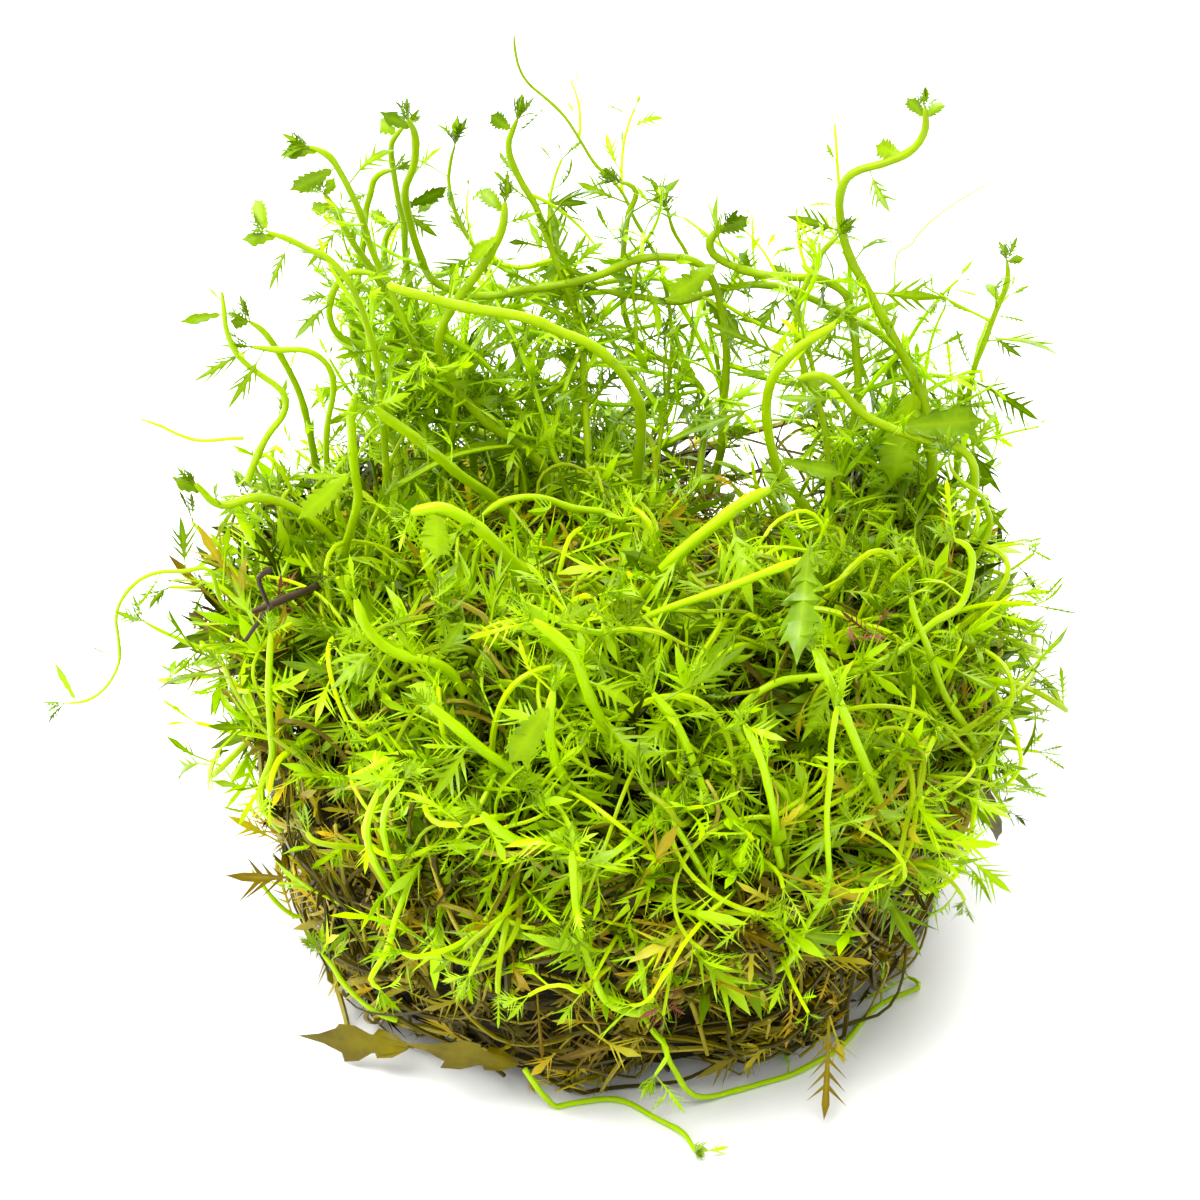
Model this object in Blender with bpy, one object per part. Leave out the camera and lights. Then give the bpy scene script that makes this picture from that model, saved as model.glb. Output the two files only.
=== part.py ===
# A clump of mermaid weed, lifted from its growing cup and set down on its root mat.
# The origin is the middle of the mat's flat underside, +Z is up, and the front faces -Y.
import math

import bpy
import numpy as np
from mathutils import Matrix
from mathutils import Vector
from mathutils import noise
from mathutils.bvhtree import BVHTree

# Driving sizes, in millimetres
MM = 0.001
MAT_FOOT_RADIUS = 33.0
MAT_RIM_RADIUS = 40.0
MAT_LUMP = 3.2
DISH_FLOOR = 16.0
DISH_RISE = 2.5
RIM_WIDTH = 5.0
GROWTH_TOP = 39.0
GROWTH_FALL = 9.0
GROWTH_REACH = 40.0
GROWTH_FORWARD = 4.0
GROWTH_OVER_RIM = 4.0
GAP = 0.4
DISH_GAP = 1.6
STEM_GAP = 1.1
ROOT_REACH = 1.5
FLOOR_GAP = 0.1

# How finely shoots are sampled, and how long the straight pieces of their solids may be
SAMPLE_LENGTH = 1.2
LONG_SEGMENT = 4.2
SHORT_SEGMENT = 1.4
SEGMENT_BEND = math.radians(24)
THICK_STEM_RADIUS = 0.34

# How shoots are eased apart: rounds, smoothing passes, gain, share of a move that goes along the
# line of sight, longest push off the body, samples of one stem that may lie close to each other
SPREAD_ROUNDS = 90
SMOOTHING_PASSES = 3
MOVE_GAIN = 1.6
SIGHT_SHARE = 0.8
LONGEST_PUSH = 1.5
NEIGHBOUR_SAMPLES = 5

# How a shoot's depth changes towards its root, and how many samples bend to reach a fork or the body
DEPTH_EASE = 1.5
FORK_SAMPLES = 10
FORK_HEADING_SAMPLE = 6
FORK_CLEARANCE = 0.6
SETTLE_SAMPLES = 5
RUNNER_FLAT_SHARE = 0.6

# Leaves: least half width, least height of the tip and of the edges above the surface, and the
# sizes, leans towards the eye, turns about the midrib and bows that are tried until one is clear
LEAF_THICKNESS = 0.5
LEAF_LEAST_HALF = 0.22
LEAF_TIP_HEIGHT = 0.4
LEAF_EDGE_HEIGHT = 0.1
LEAF_SHRINKS = (1.0, 0.8, 0.62)
LEAF_LEANS = (0.0, 1.5, -1.5, 3.0, -3.0, 5.0, -5.0, 7.5, -7.5)
LEAF_ROLLS = (0.25, -0.3, 0.7, -0.8, 1.2, -1.3)
LEAF_BOWS = (0.06, -0.06, 0.14)
LEAN_WEIGHT = 1.2

# Large leaves: least half width, height above the surface, gap to the body, rounds to reach it
LARGE_LEAST_HALF = 0.25
LARGE_LEAF_HEIGHT = 0.15
LARGE_LEAF_GAP = 1.5 * GAP
LARGE_LEAF_PUSH = 1.6
LARGE_LEAF_ROUNDS = 6
MIDRIB_STEP = 0.8

# Height of the mat's rim every 45 degrees, from the right and then round by the back
RIM_HEIGHTS = (33.0, 38.0, 31.0, 35.0, 35.0, 27.0, 24.0, 28.0)
MAT_SECTORS = 36

# Lumps of the mat's wall: how fast they change round the mat and up it, and their share of MAT_LUMP
WALL_LUMPS = ((1.9, 0.04), (5.2, 0.16))
WALL_LUMP_SHARE = 0.6

# Rings of the underside: share of the foot's outline. Rings of the wall: share of the rim's height, inset
UNDERSIDE_RINGS = (0.5, 0.86)
WALL_RINGS = ((0.05, 0.6), (0.3, 0.0), (0.55, 0.0), (0.8, 0.2), (0.95, 0.9))

# Rings of the young growth's top, as shares of its reach: the first one blends into the rim
GROWTH_RINGS = (0.86, 0.68, 0.5, 0.34, 0.17)

# Rings of the mat's dished top: an inset from the outline and a drop from the rim, or a share of both
DISH_RINGS = (
    ("inset", 0.5 * RIM_WIDTH, 0.0), ("inset", RIM_WIDTH + 1.5, -6.0), ("share", 0.62, 0.0), ("share", 0.3, 0.0),
)

# Hummocks and gaps of the young growth: x, y, height added, radius
HUMMOCKS = (
    (-16, -12, 6, 8), (3, -18, 7, 8), (18, -8, 6, 8), (-3, 2, 6, 7), (-22, 8, 6, 7),
    (20, 14, 6, 7), (-6, 20, 5, 7), (30, 0, 5, 6), (-30, -6, 5, 6), (8, -31, 5, 6),
    (-14, -29, 5, 6), (27, -17, 5, 6), (6, 30, 4, 6), (-24, 22, 4, 6), (30, 18, 4, 6),
    (-10, 4, -8, 5), (16, -23, -9, 6), (-23, -20, -6, 5), (10, 6, -7, 5), (-4, -8, -5, 4),
    (24, 6, -6, 5), (-14, 15, -6, 5), (-4, -29, -5, 4), (12, 22, -5, 5),
)

# The shoots' routes are drawn on a plane square to the line of sight, and each point also has a depth.
# Across and down on that plane are counted in grid steps from its top left corner.
GRID_STEP = 0.1
GRID_MIDDLE = 600
EYE_ELEVATION = math.radians(36)
EYE_DISTANCE = 430.0
AIM = Vector((-2, 0, 37))
ACROSS = Vector((1, 0, 0))
UPWARD = Vector((0, math.sin(EYE_ELEVATION), math.cos(EYE_ELEVATION)))
EYEWARD = Vector((0, -math.cos(EYE_ELEVATION), math.sin(EYE_ELEVATION)))
EYE = AIM + EYE_DISTANCE * EYEWARD

# Colours of the sub-parts, linear
FRESH_GREEN = (0.36, 0.72, 0.02)
DEEP_GREEN = (0.10, 0.33, 0.01)
OLIVE = (0.16, 0.14, 0.01)
DEAD_BROWN = (0.04, 0.02, 0.015)
DEAD_PALE = (0.45, 0.40, 0.25)

# Each leaf form: teeth on each side, width left between the teeth, forward sweep of the teeth
LEAF_FORMS = {
    "lance": (2, 0.80, 0.03),
    "serrate": (3, 0.62, 0.07),
    "lobed": (3, 0.30, 0.11),
    "comb": (4, 0.14, 0.09),
}

# Shoots: name, width at the tip, width at the root, depth at the tip, extra depth half way, route.
# Widths and routes are in grid steps, and depths are in millimetres towards the back.
# A route runs from the tip to the root, which sits on the young growth or the mat.
SHOOTS = (
    ("two_leaf_shoot", 6, 9, 24, 0, (
        (405, 125), (393, 140), (391, 152), (394, 175), (399, 203), (404, 222), (405, 250), (410, 285),
        (425, 330), (455, 375), (490, 415), (520, 460), (540, 510))),
    ("long_crossing_shoot", 8, 9, 19, 4, (
        (408, 120), (415, 135), (414, 165), (405, 190), (409, 218), (419, 252), (435, 282), (480, 296),
        (520, 290), (570, 283), (600, 275), (640, 259), (680, 258), (706, 270), (722, 310), (726, 370),
        (715, 440), (702, 510))),
    ("nodding_left_shoot", 7, 9, 14, 0, (
        (310, 147), (328, 155), (340, 172), (352, 195), (362, 218), (370, 245), (385, 280), (405, 325),
        (430, 370), (455, 415), (470, 460), (478, 512))),
    ("upright_left_shoot", 7, 8, 22, 0, (
        (392, 170), (376, 176), (371, 192), (365, 215), (363, 245), (357, 285), (352, 320), (358, 360),
        (378, 400), (395, 445), (402, 485), (405, 525))),
    ("budding_left_shoot", 6, 8, 8, 0, (
        (268, 232), (290, 240), (310, 250), (325, 256), (345, 275), (360, 305), (372, 345), (380, 390),
        (384, 440), (388, 490), (392, 530))),
    ("leafy_left_shoot", 7, 8, 17, 0, (
        (325, 195), (335, 210), (343, 225), (350, 238), (360, 253), (374, 272), (388, 300), (398, 340),
        (410, 390), (425, 440), (432, 490), (436, 525))),
    ("looped_left_shoot", 7, 8, 9, 0, (
        (375, 275), (355, 272), (343, 278), (333, 292), (329, 312), (335, 331), (350, 342), (380, 347),
        (405, 353), (425, 365), (442, 390), (452, 425), (456, 465), (455, 510))),
    ("slender_middle_shoot", 7, 8, 27, 0, (
        (397, 222), (387, 235), (384, 255), (387, 290), (391, 310), (402, 332), (425, 352), (460, 372),
        (500, 398), (535, 430), (560, 470), (572, 515))),
    ("great_arching_shoot", 10, 11, 6, -2, (
        (388, 285), (400, 290), (430, 298), (464, 307), (527, 318), (560, 332), (591, 345), (618, 368),
        (637, 398), (641, 420), (640, 450), (636, 485), (632, 520))),
    ("swan_neck_shoot", 9, 10, 12, 0, (
        (505, 203), (503, 225), (495, 245), (476, 275), (454, 304), (440, 333), (440, 355), (451, 377),
        (467, 402), (490, 425), (520, 445), (545, 470), (560, 512))),
    ("back_middle_shoot", 7, 8, 30, 0, (
        (517, 120), (509, 140), (509, 152), (513, 165), (523, 185), (534, 203), (542, 222), (550, 245),
        (562, 275), (575, 310), (582, 350), (585, 400), (588, 450), (592, 505))),
    ("fine_bud_shoot", 4, 6, 33, 0, (
        (455, 145), (451, 160), (449, 185), (459, 222), (477, 252), (490, 280), (505, 320), (520, 365),
        (532, 410), (540, 460), (545, 512))),
    ("thread_shoot", 3, 5, 34, 0, (
        (514, 35), (515, 50), (520, 70), (530, 85), (548, 100), (565, 117), (580, 140), (595, 164),
        (612, 180), (625, 197), (634, 218), (647, 240), (658, 262), (668, 300), (672, 345), (668, 390),
        (660, 440), (655, 508))),
    ("hooked_back_shoot", 6, 7, 28, 0, (
        (620, 182), (634, 187), (636, 198), (629, 212), (624, 245), (622, 280), (625, 315), (635, 338),
        (655, 356), (684, 371), (705, 395), (712, 430), (706, 470), (698, 512))),
    ("comb_leaf_shoot", 4, 6, 33, 0, (
        (667, 210), (674, 232), (685, 250), (695, 275), (705, 310), (715, 350), (722, 400), (720, 450),
        (718, 508))),
    ("knotted_shoot", 9, 9, 22, 0, (
        (724, 226), (711, 238), (711, 251), (725, 262), (755, 273), (790, 277), (815, 278), (832, 284),
        (846, 295), (853, 318), (856, 350), (858, 390), (852, 430), (842, 470), (832, 515))),
    ("trailing_back_shoot", 7, 9, 24, 2, (
        (600, 290), (640, 297), (677, 302), (703, 295), (744, 285), (783, 288), (830, 307), (878, 333),
        (905, 360), (918, 400), (915, 440), (905, 480), (892, 520))),
    ("s_curve_shoot", 10, 10, 3, 0, (
        (835, 325), (815, 337), (796, 350), (776, 372), (767, 398), (768, 430), (776, 462), (792, 490),
        (808, 510), (816, 540), (818, 575))),
    ("tall_right_shoot", 8, 12, 20, 0, (
        (925, 108), (925, 130), (912, 150), (885, 163), (862, 169), (847, 178), (840, 195), (840, 215),
        (844, 240), (852, 262), (862, 280), (873, 300), (887, 325), (900, 350), (912, 372), (926, 410),
        (932, 450), (930, 490), (922, 530))),
    ("whorl_side_shoot", 6, 7, 17, 0, (
        (838, 236), (821, 254), (805, 286), (797, 312), (798, 345), (808, 380), (822, 415), (828, 460),
        (830, 510), (836, 560))),
    ("far_right_shoot", 6, 7, 18, 0, (
        (1007, 262), (1008, 275), (1005, 290), (996, 311), (984, 343), (974, 369), (968, 400), (962, 440),
        (955, 480), (948, 525))),
    ("right_sweeping_shoot", 9, 9, 6, 0, (
        (799, 379), (818, 375), (837, 385), (859, 411), (888, 427), (923, 439), (955, 446), (972, 462),
        (974, 492), (962, 535))),
    ("bold_front_shoot", 12, 12, -16, 0, (
        (412, 512), (441, 508), (464, 518), (486, 534), (508, 556), (528, 578), (546, 606), (556, 632))),
    ("low_arch_shoot", 7, 7, -4, 0, (
        (483, 515), (502, 502), (528, 497), (550, 500), (572, 508), (607, 513), (624, 528), (632, 552))),
    ("yellow_stalk", 12, 12, -10, 0, (
        (770, 489), (744, 502), (719, 521), (687, 547), (661, 572), (642, 598), (630, 622))),
    ("lower_stalk", 8, 8, -18, 0, (
        (802, 559), (760, 575), (719, 591), (681, 604), (649, 617), (632, 636))),
    ("left_crossing_shoot", 10, 10, -6, 0, (
        (365, 405), (374, 411), (403, 429), (435, 454), (460, 475), (490, 496), (512, 520), (524, 552))),
    ("left_hanging_shoot", 9, 9, -6, 0, (
        (362, 398), (354, 418), (352, 441), (355, 473), (358, 499), (352, 524), (344, 552), (340, 585))),
    ("kinked_left_shoot", 8, 9, 2, 0, (
        (196, 484), (216, 504), (236, 503), (253, 497), (280, 502), (305, 515), (330, 537), (345, 565))),
    ("hooked_left_shoot", 5, 8, 2, 0, (
        (222, 292), (224, 310), (227, 332), (240, 358), (265, 378), (280, 389), (286, 402), (282, 416),
        (268, 432), (256, 450), (243, 474), (240, 486))),
    ("ribbed_left_shoot", 7, 8, 9, 0, (
        (250, 322), (263, 331), (277, 350), (290, 373), (300, 395), (308, 425), (314, 455), (320, 485),
        (326, 522))),
    ("straight_left_shoot", 6, 7, 3, 0, (
        (253, 347), (279, 350), (304, 350), (322, 359), (332, 375), (333, 395), (328, 420), (326, 450),
        (330, 490), (338, 540))),
    ("pale_thread", 3, 4, 4, 0, ((141, 419), (164, 427), (183, 435), (205, 438), (237, 432), (257, 430))),
    ("left_runner", 3, 5, -4, 0, (
        (65, 703), (86, 701), (106, 687), (119, 662), (118, 636), (116, 618), (122, 599), (138, 581),
        (160, 572), (188, 571), (205, 567), (214, 578), (222, 602))),
    ("right_falling_shoot", 7, 8, -12, 0, (
        (955, 540), (969, 548), (972, 569), (961, 605), (936, 621), (907, 646), (867, 668), (819, 677),
        (781, 681), (749, 700), (733, 728), (733, 760), (745, 789), (771, 811), (800, 837))),
    ("right_edge_shoot", 7, 8, -16, 0, (
        (911, 598), (915, 617), (927, 646), (940, 684), (953, 716), (963, 745), (966, 770))),
    ("right_upright_shoot", 9, 10, -28, 0, (
        (814, 650), (834, 690), (851, 730), (868, 771), (882, 811), (886, 835))),
    ("front_falling_shoot", 6, 6, -34, 0, (
        (837, 707), (831, 745), (831, 771), (827, 811), (828, 851), (829, 880), (820, 905), (799, 928),
        (779, 951), (762, 969))),
    ("front_right_stem", 8, 8, -28, 0, ((653, 693), (672, 716), (688, 748), (700, 785), (706, 815))),
    ("front_short_stem", 8, 8, -34, 0, ((745, 725), (761, 760), (771, 799), (776, 831), (775, 868))),
    ("near_left_shoot", 10, 10, -22, 0, (
        (356, 600), (365, 625), (384, 646), (407, 657), (430, 661), (450, 672), (462, 694))),
    ("near_low_shoot", 10, 10, -29, 0, ((430, 705), (455, 726), (484, 751), (508, 768), (524, 790))),
    ("near_middle_shoot", 11, 11, -27, 0, (
        (534, 621), (560, 640), (576, 659), (584, 682), (595, 709), (605, 728), (616, 752))),
    ("near_bent_shoot", 10, 10, -32, 0, (
        (553, 692), (549, 719), (551, 745), (558, 768), (568, 786), (570, 808))),
    ("near_left_low_shoot", 8, 8, -31, 0, ((350, 778), (369, 770), (398, 755), (420, 757), (436, 775))),
    ("front_bow_shoot", 10, 10, -38, 0, ((482, 814), (499, 830), (522, 843), (545, 841), (570, 829), (585, 842))),
    ("front_trailing_shoot", 8, 8, -40, 0, (
        (572, 851), (575, 897), (580, 935), (593, 968), (606, 989), (629, 999), (652, 1004))),
    ("left_wall_shoot", 7, 7, -20, 0, ((271, 633), (269, 671), (269, 703), (273, 751), (281, 786), (289, 828))),
    ("front_left_hook", 6, 6, -38, 0, (
        (380, 989), (370, 979), (380, 963), (389, 945), (395, 920), (407, 894), (424, 872))),
    ("left_foot_shoot", 5, 5, -28, 0, ((322, 954), (331, 964), (344, 984), (363, 1000), (384, 1008), (402, 1014))),
    ("dead_dark_stem", 7, 10, -14, 0, ((252, 612), (287, 598), (314, 588), (341, 576))),
)

# Shoots that fork from another shoot, and that shoot
FORKS = {
    "hooked_left_shoot": "kinked_left_shoot",
    "pale_thread": "hooked_left_shoot",
}

# Runners that lie on the surface: name, widths, height where they leave the mat, route from the tip
RUNNERS = (
    ("front_runner", 5, 6, 5.5, (
        (695, 1152), (683, 1133), (652, 1116), (629, 1102), (603, 1091), (572, 1083), (546, 1069),
        (528, 1052))),
    ("looped_runner", 5, 6, 9, (
        (908, 977), (921, 986), (894, 997), (851, 1015), (811, 1043), (782, 1070), (756, 1084), (726, 1093),
        (703, 1097), (687, 1090), (675, 1068), (664, 1040), (655, 1012))),
)

# Leaves: the shoot each grows from, its form, its width, where it leaves the stem, and its tip
LEAVES = (
    ("two_leaf_shoot", "lance", 16, (397, 132), (374, 120)),
    ("two_leaf_shoot", "lobed", 30, (402, 212), (440, 240)),
    ("two_leaf_shoot", "serrate", 20, (400, 205), (448, 190)),
    ("long_crossing_shoot", "lance", 13, (411, 126), (380, 113)),
    ("nodding_left_shoot", "lance", 14, (316, 149), (279, 147)),
    ("nodding_left_shoot", "serrate", 20, (336, 167), (291, 192)),
    ("upright_left_shoot", "lobed", 26, (364, 240), (330, 232)),
    ("budding_left_shoot", "serrate", 18, (272, 233), (253, 198)),
    ("budding_left_shoot", "lance", 12, (275, 234), (237, 240)),
    ("budding_left_shoot", "lobed", 24, (292, 241), (264, 292)),
    ("leafy_left_shoot", "lance", 14, (328, 200), (309, 214)),
    ("leafy_left_shoot", "lance", 13, (328, 199), (336, 178)),
    ("leafy_left_shoot", "lobed", 24, (343, 226), (306, 270)),
    ("looped_left_shoot", "lobed", 26, (333, 292), (300, 300)),
    ("slender_middle_shoot", "serrate", 15, (393, 228), (374, 208)),
    ("swan_neck_shoot", "serrate", 18, (504, 212), (482, 188)),
    ("swan_neck_shoot", "lobed", 22, (503, 228), (541, 212)),
    ("back_middle_shoot", "serrate", 18, (514, 127), (489, 116)),
    ("back_middle_shoot", "lance", 10, (516, 122), (524, 93)),
    ("back_middle_shoot", "lobed", 32, (536, 208), (592, 200)),
    ("back_middle_shoot", "lobed", 32, (555, 258), (598, 286)),
    ("fine_bud_shoot", "lance", 10, (454, 148), (458, 116)),
    ("thread_shoot", "comb", 9, (548, 100), (516, 140)),
    ("hooked_back_shoot", "lobed", 22, (626, 184), (596, 170)),
    ("hooked_back_shoot", "comb", 14, (623, 268), (656, 238)),
    ("comb_leaf_shoot", "comb", 48, (672, 228), (662, 172)),
    ("knotted_shoot", "serrate", 20, (717, 231), (747, 216)),
    ("knotted_shoot", "serrate", 24, (718, 256), (668, 302)),
    ("knotted_shoot", "lobed", 26, (800, 278), (764, 262)),
    ("s_curve_shoot", "lobed", 34, (767, 402), (678, 438)),
    ("s_curve_shoot", "comb", 34, (790, 356), (700, 318)),
    ("tall_right_shoot", "serrate", 16, (925, 116), (908, 96)),
    ("tall_right_shoot", "serrate", 16, (925, 118), (943, 98)),
    ("tall_right_shoot", "serrate", 22, (905, 154), (876, 148)),
    ("tall_right_shoot", "lobed", 30, (864, 169), (886, 220)),
    ("tall_right_shoot", "lobed", 36, (842, 232), (788, 214)),
    ("tall_right_shoot", "lobed", 46, (871, 297), (944, 296)),
    ("far_right_shoot", "lance", 8, (1007, 266), (1026, 258)),
    ("far_right_shoot", "serrate", 14, (1002, 300), (987, 281)),
    ("far_right_shoot", "lobed", 24, (990, 328), (1022, 360)),
    ("far_right_shoot", "comb", 44, (972, 376), (1042, 412)),
    ("right_sweeping_shoot", "serrate", 34, (890, 428), (985, 418)),
    ("bold_front_shoot", "serrate", 36, (432, 508), (430, 560)),
    ("yellow_stalk", "lobed", 52, (730, 512), (752, 610)),
    ("left_crossing_shoot", "lobed", 34, (372, 409), (410, 392)),
    ("left_hanging_shoot", "lobed", 30, (355, 474), (300, 478)),
    ("kinked_left_shoot", "lance", 14, (202, 491), (172, 478)),
    ("hooked_left_shoot", "lance", 9, (224, 312), (178, 322)),
    ("hooked_left_shoot", "comb", 10, (223, 300), (208, 286)),
    ("ribbed_left_shoot", "lance", 13, (254, 324), (228, 321)),
    ("straight_left_shoot", "lobed", 22, (256, 347), (188, 383)),
    ("left_runner", "lobed", 30, (180, 571), (180, 517)),
    ("left_runner", "lance", 7, (76, 702), (54, 660)),
    ("right_falling_shoot", "serrate", 18, (960, 543), (938, 536)),
    ("right_falling_shoot", "lobed", 40, (868, 668), (880, 754)),
    ("right_falling_shoot", "lobed", 34, (908, 646), (922, 722)),
    ("right_falling_shoot", "lobed", 26, (745, 789), (750, 880)),
    ("right_upright_shoot", "lobed", 34, (874, 790), (786, 880)),
    ("front_right_stem", "lobed", 56, (657, 698), (762, 652)),
    ("near_left_shoot", "lobed", 24, (362, 618), (332, 650)),
    ("near_low_shoot", "serrate", 28, (446, 718), (412, 690)),
    ("near_middle_shoot", "lobed", 30, (548, 632), (600, 600)),
    ("near_bent_shoot", "serrate", 32, (550, 705), (510, 762)),
    ("front_bow_shoot", "lobed", 24, (500, 830), (470, 866)),
    ("left_foot_shoot", "lobed", 20, (330, 962), (352, 940)),
    ("front_runner", "lobed", 16, (690, 1143), (706, 1169)),
)

# Large leaves that are pieces of their own: form, width, depth at the tip and base, route tip to base
LARGE_LEAVES = (
    ("large_serrate_leaf", "serrate", 44, -34, -22, ((790, 690), (797, 646), (804, 598), (809, 552))),
    ("pale_dead_leaf", "lance", 14, -6, -4, ((1006, 862), (1000, 822), (992, 790), (982, 772))),
    ("old_foot_leaf", "lobed", 44, -26, -30, ((294, 1036), (325, 1042), (360, 1046), (398, 1046))),
    ("old_front_leaf", "lobed", 36, -37, -35, ((404, 1044), (440, 1062), (476, 1068), (508, 1062))),
)


# Pieces whose colour isn't the fresh green of most shoots
PIECE_COLOURS = {
    "dead_dark_stem": DEAD_BROWN,
    "pale_dead_leaf": DEAD_PALE,
    "old_foot_leaf": OLIVE,
    "old_front_leaf": OLIVE,
    "large_serrate_leaf": DEEP_GREEN,
}


def sight_place(across, down, towards):
    """Give the place on the sight line through a grid point, so far towards the eye from the plane."""
    shrink = 1 - towards / EYE_DISTANCE
    right = (across - GRID_MIDDLE) * GRID_STEP * shrink
    up = (GRID_MIDDLE - down) * GRID_STEP * shrink
    return AIM + right * ACROSS + up * UPWARD + towards * EYEWARD


def towards_at_depth(down, depth):
    """Give how far towards the eye a grid point lies when its depth is known."""
    up = (GRID_MIDDLE - down) * GRID_STEP
    sine = math.sin(EYE_ELEVATION)
    return (up * sine - depth) / (math.cos(EYE_ELEVATION) + up * sine / EYE_DISTANCE)


def towards_at_height(down, height):
    """Give how far towards the eye a grid point lies when its height above the surface is known."""
    up = (GRID_MIDDLE - down) * GRID_STEP
    cosine = math.cos(EYE_ELEVATION)
    return (height - AIM.z - up * cosine) / (math.sin(EYE_ELEVATION) - up * cosine / EYE_DISTANCE)


def smooth_route(points, spacing):
    """Sample a smooth curve through hand-set points at an even spacing, both ends kept."""
    fine = []
    padded = [points[0] * 2 - points[1]] + list(points) + [points[-1] * 2 - points[-2]]
    for before, start, end, after in zip(padded, padded[1:], padded[2:], padded[3:]):
        for step in range(12):
            t = step / 12
            fine.append(0.5 * (2 * start + (end - before) * t
                               + (2 * before - 5 * start + 4 * end - after) * t * t
                               + (3 * start - before - 3 * end + after) * t * t * t))
    fine.append(points[-1])
    lengths = [0.0]
    for first, second in zip(fine, fine[1:]):
        lengths.append(lengths[-1] + (second - first).length)
    count = max(3, round(lengths[-1] / spacing))
    samples = []
    index = 0
    for step in range(count + 1):
        wanted = lengths[-1] * step / count
        while index < len(lengths) - 2 and lengths[index + 1] < wanted:
            index += 1
        span = max(lengths[index + 1] - lengths[index], 1e-9)
        samples.append(fine[index].lerp(fine[index + 1], (wanted - lengths[index]) / span))
    return samples


def rim_height(angle):
    """Give the height of the mat's rim at an angle, blended between the eight set heights."""
    turn = (angle / (math.pi / 4)) % 8
    lower = int(turn)
    blend = (1 - math.cos(math.pi * (turn - lower))) / 2
    return RIM_HEIGHTS[lower % 8] * (1 - blend) + RIM_HEIGHTS[(lower + 1) % 8] * blend


def outline_radius(angle, height):
    """Give the mat's radius in plan: it widens upwards as its cup did, with lumps."""
    widening = min(height / RIM_HEIGHTS[1], 1.0)
    radius = MAT_FOOT_RADIUS + (MAT_RIM_RADIUS - MAT_FOOT_RADIUS) * widening
    lumps = 0.0
    for around, upwards in WALL_LUMPS:
        spot = Vector((math.cos(angle) * around, math.sin(angle) * around, height * upwards))
        lumps += WALL_LUMP_SHARE * noise.noise(spot)
    return radius + MAT_LUMP * lumps


def dish_point(angle, ring, lift):
    """Give a point of the dished top, raised by a lift."""
    kind, amount, drop = ring
    rim = rim_height(angle)
    if kind == "inset":
        height = rim + drop
        radius = outline_radius(angle, rim) - amount
    else:
        height = DISH_FLOOR + DISH_RISE * amount
        radius = outline_radius(angle, rim) * amount
    return Vector((radius * math.cos(angle), radius * math.sin(angle), height + lift))


def growth_height(x, y):
    """Give the height of the young growth over a place in plan."""
    reach = (x / GROWTH_REACH) ** 2 + ((y + GROWTH_FORWARD) / GROWTH_REACH) ** 2
    height = GROWTH_TOP - GROWTH_FALL * reach
    for bump_x, bump_y, rise, radius in HUMMOCKS:
        apart = ((x - bump_x) ** 2 + (y - bump_y) ** 2) / radius ** 2
        height += rise * math.exp(-apart)
    return height


def closed_rings(rings, bottom, top):
    """Join rings of points, lowest first, into one closed mesh with a point at each end."""
    count = len(rings[0])
    points = [point for ring in rings for point in ring] + [bottom, top]
    low, high = len(points) - 2, len(points) - 1
    faces = []
    for index in range(len(rings) - 1):
        for side in range(count):
            after = (side + 1) % count
            faces.append((index * count + side, index * count + after,
                          (index + 1) * count + after, (index + 1) * count + side))
    last = (len(rings) - 1) * count
    for side in range(count):
        after = (side + 1) % count
        faces.append((after, side, low))
        faces.append((last + side, last + after, high))
    return points, faces


def sector_angles():
    """Give the angles of the mat's sectors."""
    return [2 * math.pi * step / MAT_SECTORS for step in range(MAT_SECTORS)]


def mat_outer_rings():
    """Give the rings of the mat's underside, its lumpy flaring wall and its rim."""
    rings = []
    for share in UNDERSIDE_RINGS:
        rings.append([Vector((share * outline_radius(a, 0) * math.cos(a),
                              share * outline_radius(a, 0) * math.sin(a), 0)) for a in sector_angles()])
    for share, inset in WALL_RINGS:
        ring = []
        for angle in sector_angles():
            height = rim_height(angle) * share
            radius = outline_radius(angle, height) - inset
            ring.append(Vector((radius * math.cos(angle), radius * math.sin(angle), height)))
        rings.append(ring)
    rings.append([dish_point(angle, DISH_RINGS[0], 0) for angle in sector_angles()])
    return rings


def growth_top_rings():
    """Give the rings of the young growth's hummocky top, from its edge over the rim inwards."""
    edge = []
    for angle in sector_angles():
        rim = rim_height(angle)
        radius = outline_radius(angle, rim) - 0.5 * RIM_WIDTH
        edge.append(Vector((radius * math.cos(angle), radius * math.sin(angle), rim + 3 * GAP)))
    rings = [edge]
    for share in GROWTH_RINGS:
        ring = []
        for angle in sector_angles():
            radius = share * (MAT_RIM_RADIUS - 0.5 * RIM_WIDTH)
            x, y = radius * math.cos(angle), radius * math.sin(angle)
            height = growth_height(x, y)
            if share == GROWTH_RINGS[0]:
                height = (height + rim_height(angle) + GROWTH_OVER_RIM) / 2
            ring.append(Vector((x, y, height)))
        rings.append(ring)
    return rings


def root_mat_shape():
    """Model the matted plug with its dished top."""
    rings = mat_outer_rings()
    for ring in DISH_RINGS[1:]:
        rings.append([dish_point(angle, ring, 0) for angle in sector_angles()])
    return closed_rings(rings, Vector((0, 0, 0)), Vector((0, 0, DISH_FLOOR)))


def young_growth_shape():
    """Model the leafy mass: it fills the dish and rises over the rim in hummocks."""
    rings = []
    for ring in reversed(DISH_RINGS[1:]):
        rings.append([dish_point(angle, ring, DISH_GAP) for angle in sector_angles()])
    rings += growth_top_rings()
    bottom = Vector((0, 0, DISH_FLOOR + DISH_GAP))
    return closed_rings(rings, bottom, Vector((0, 0, growth_height(0, 0))))


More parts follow.
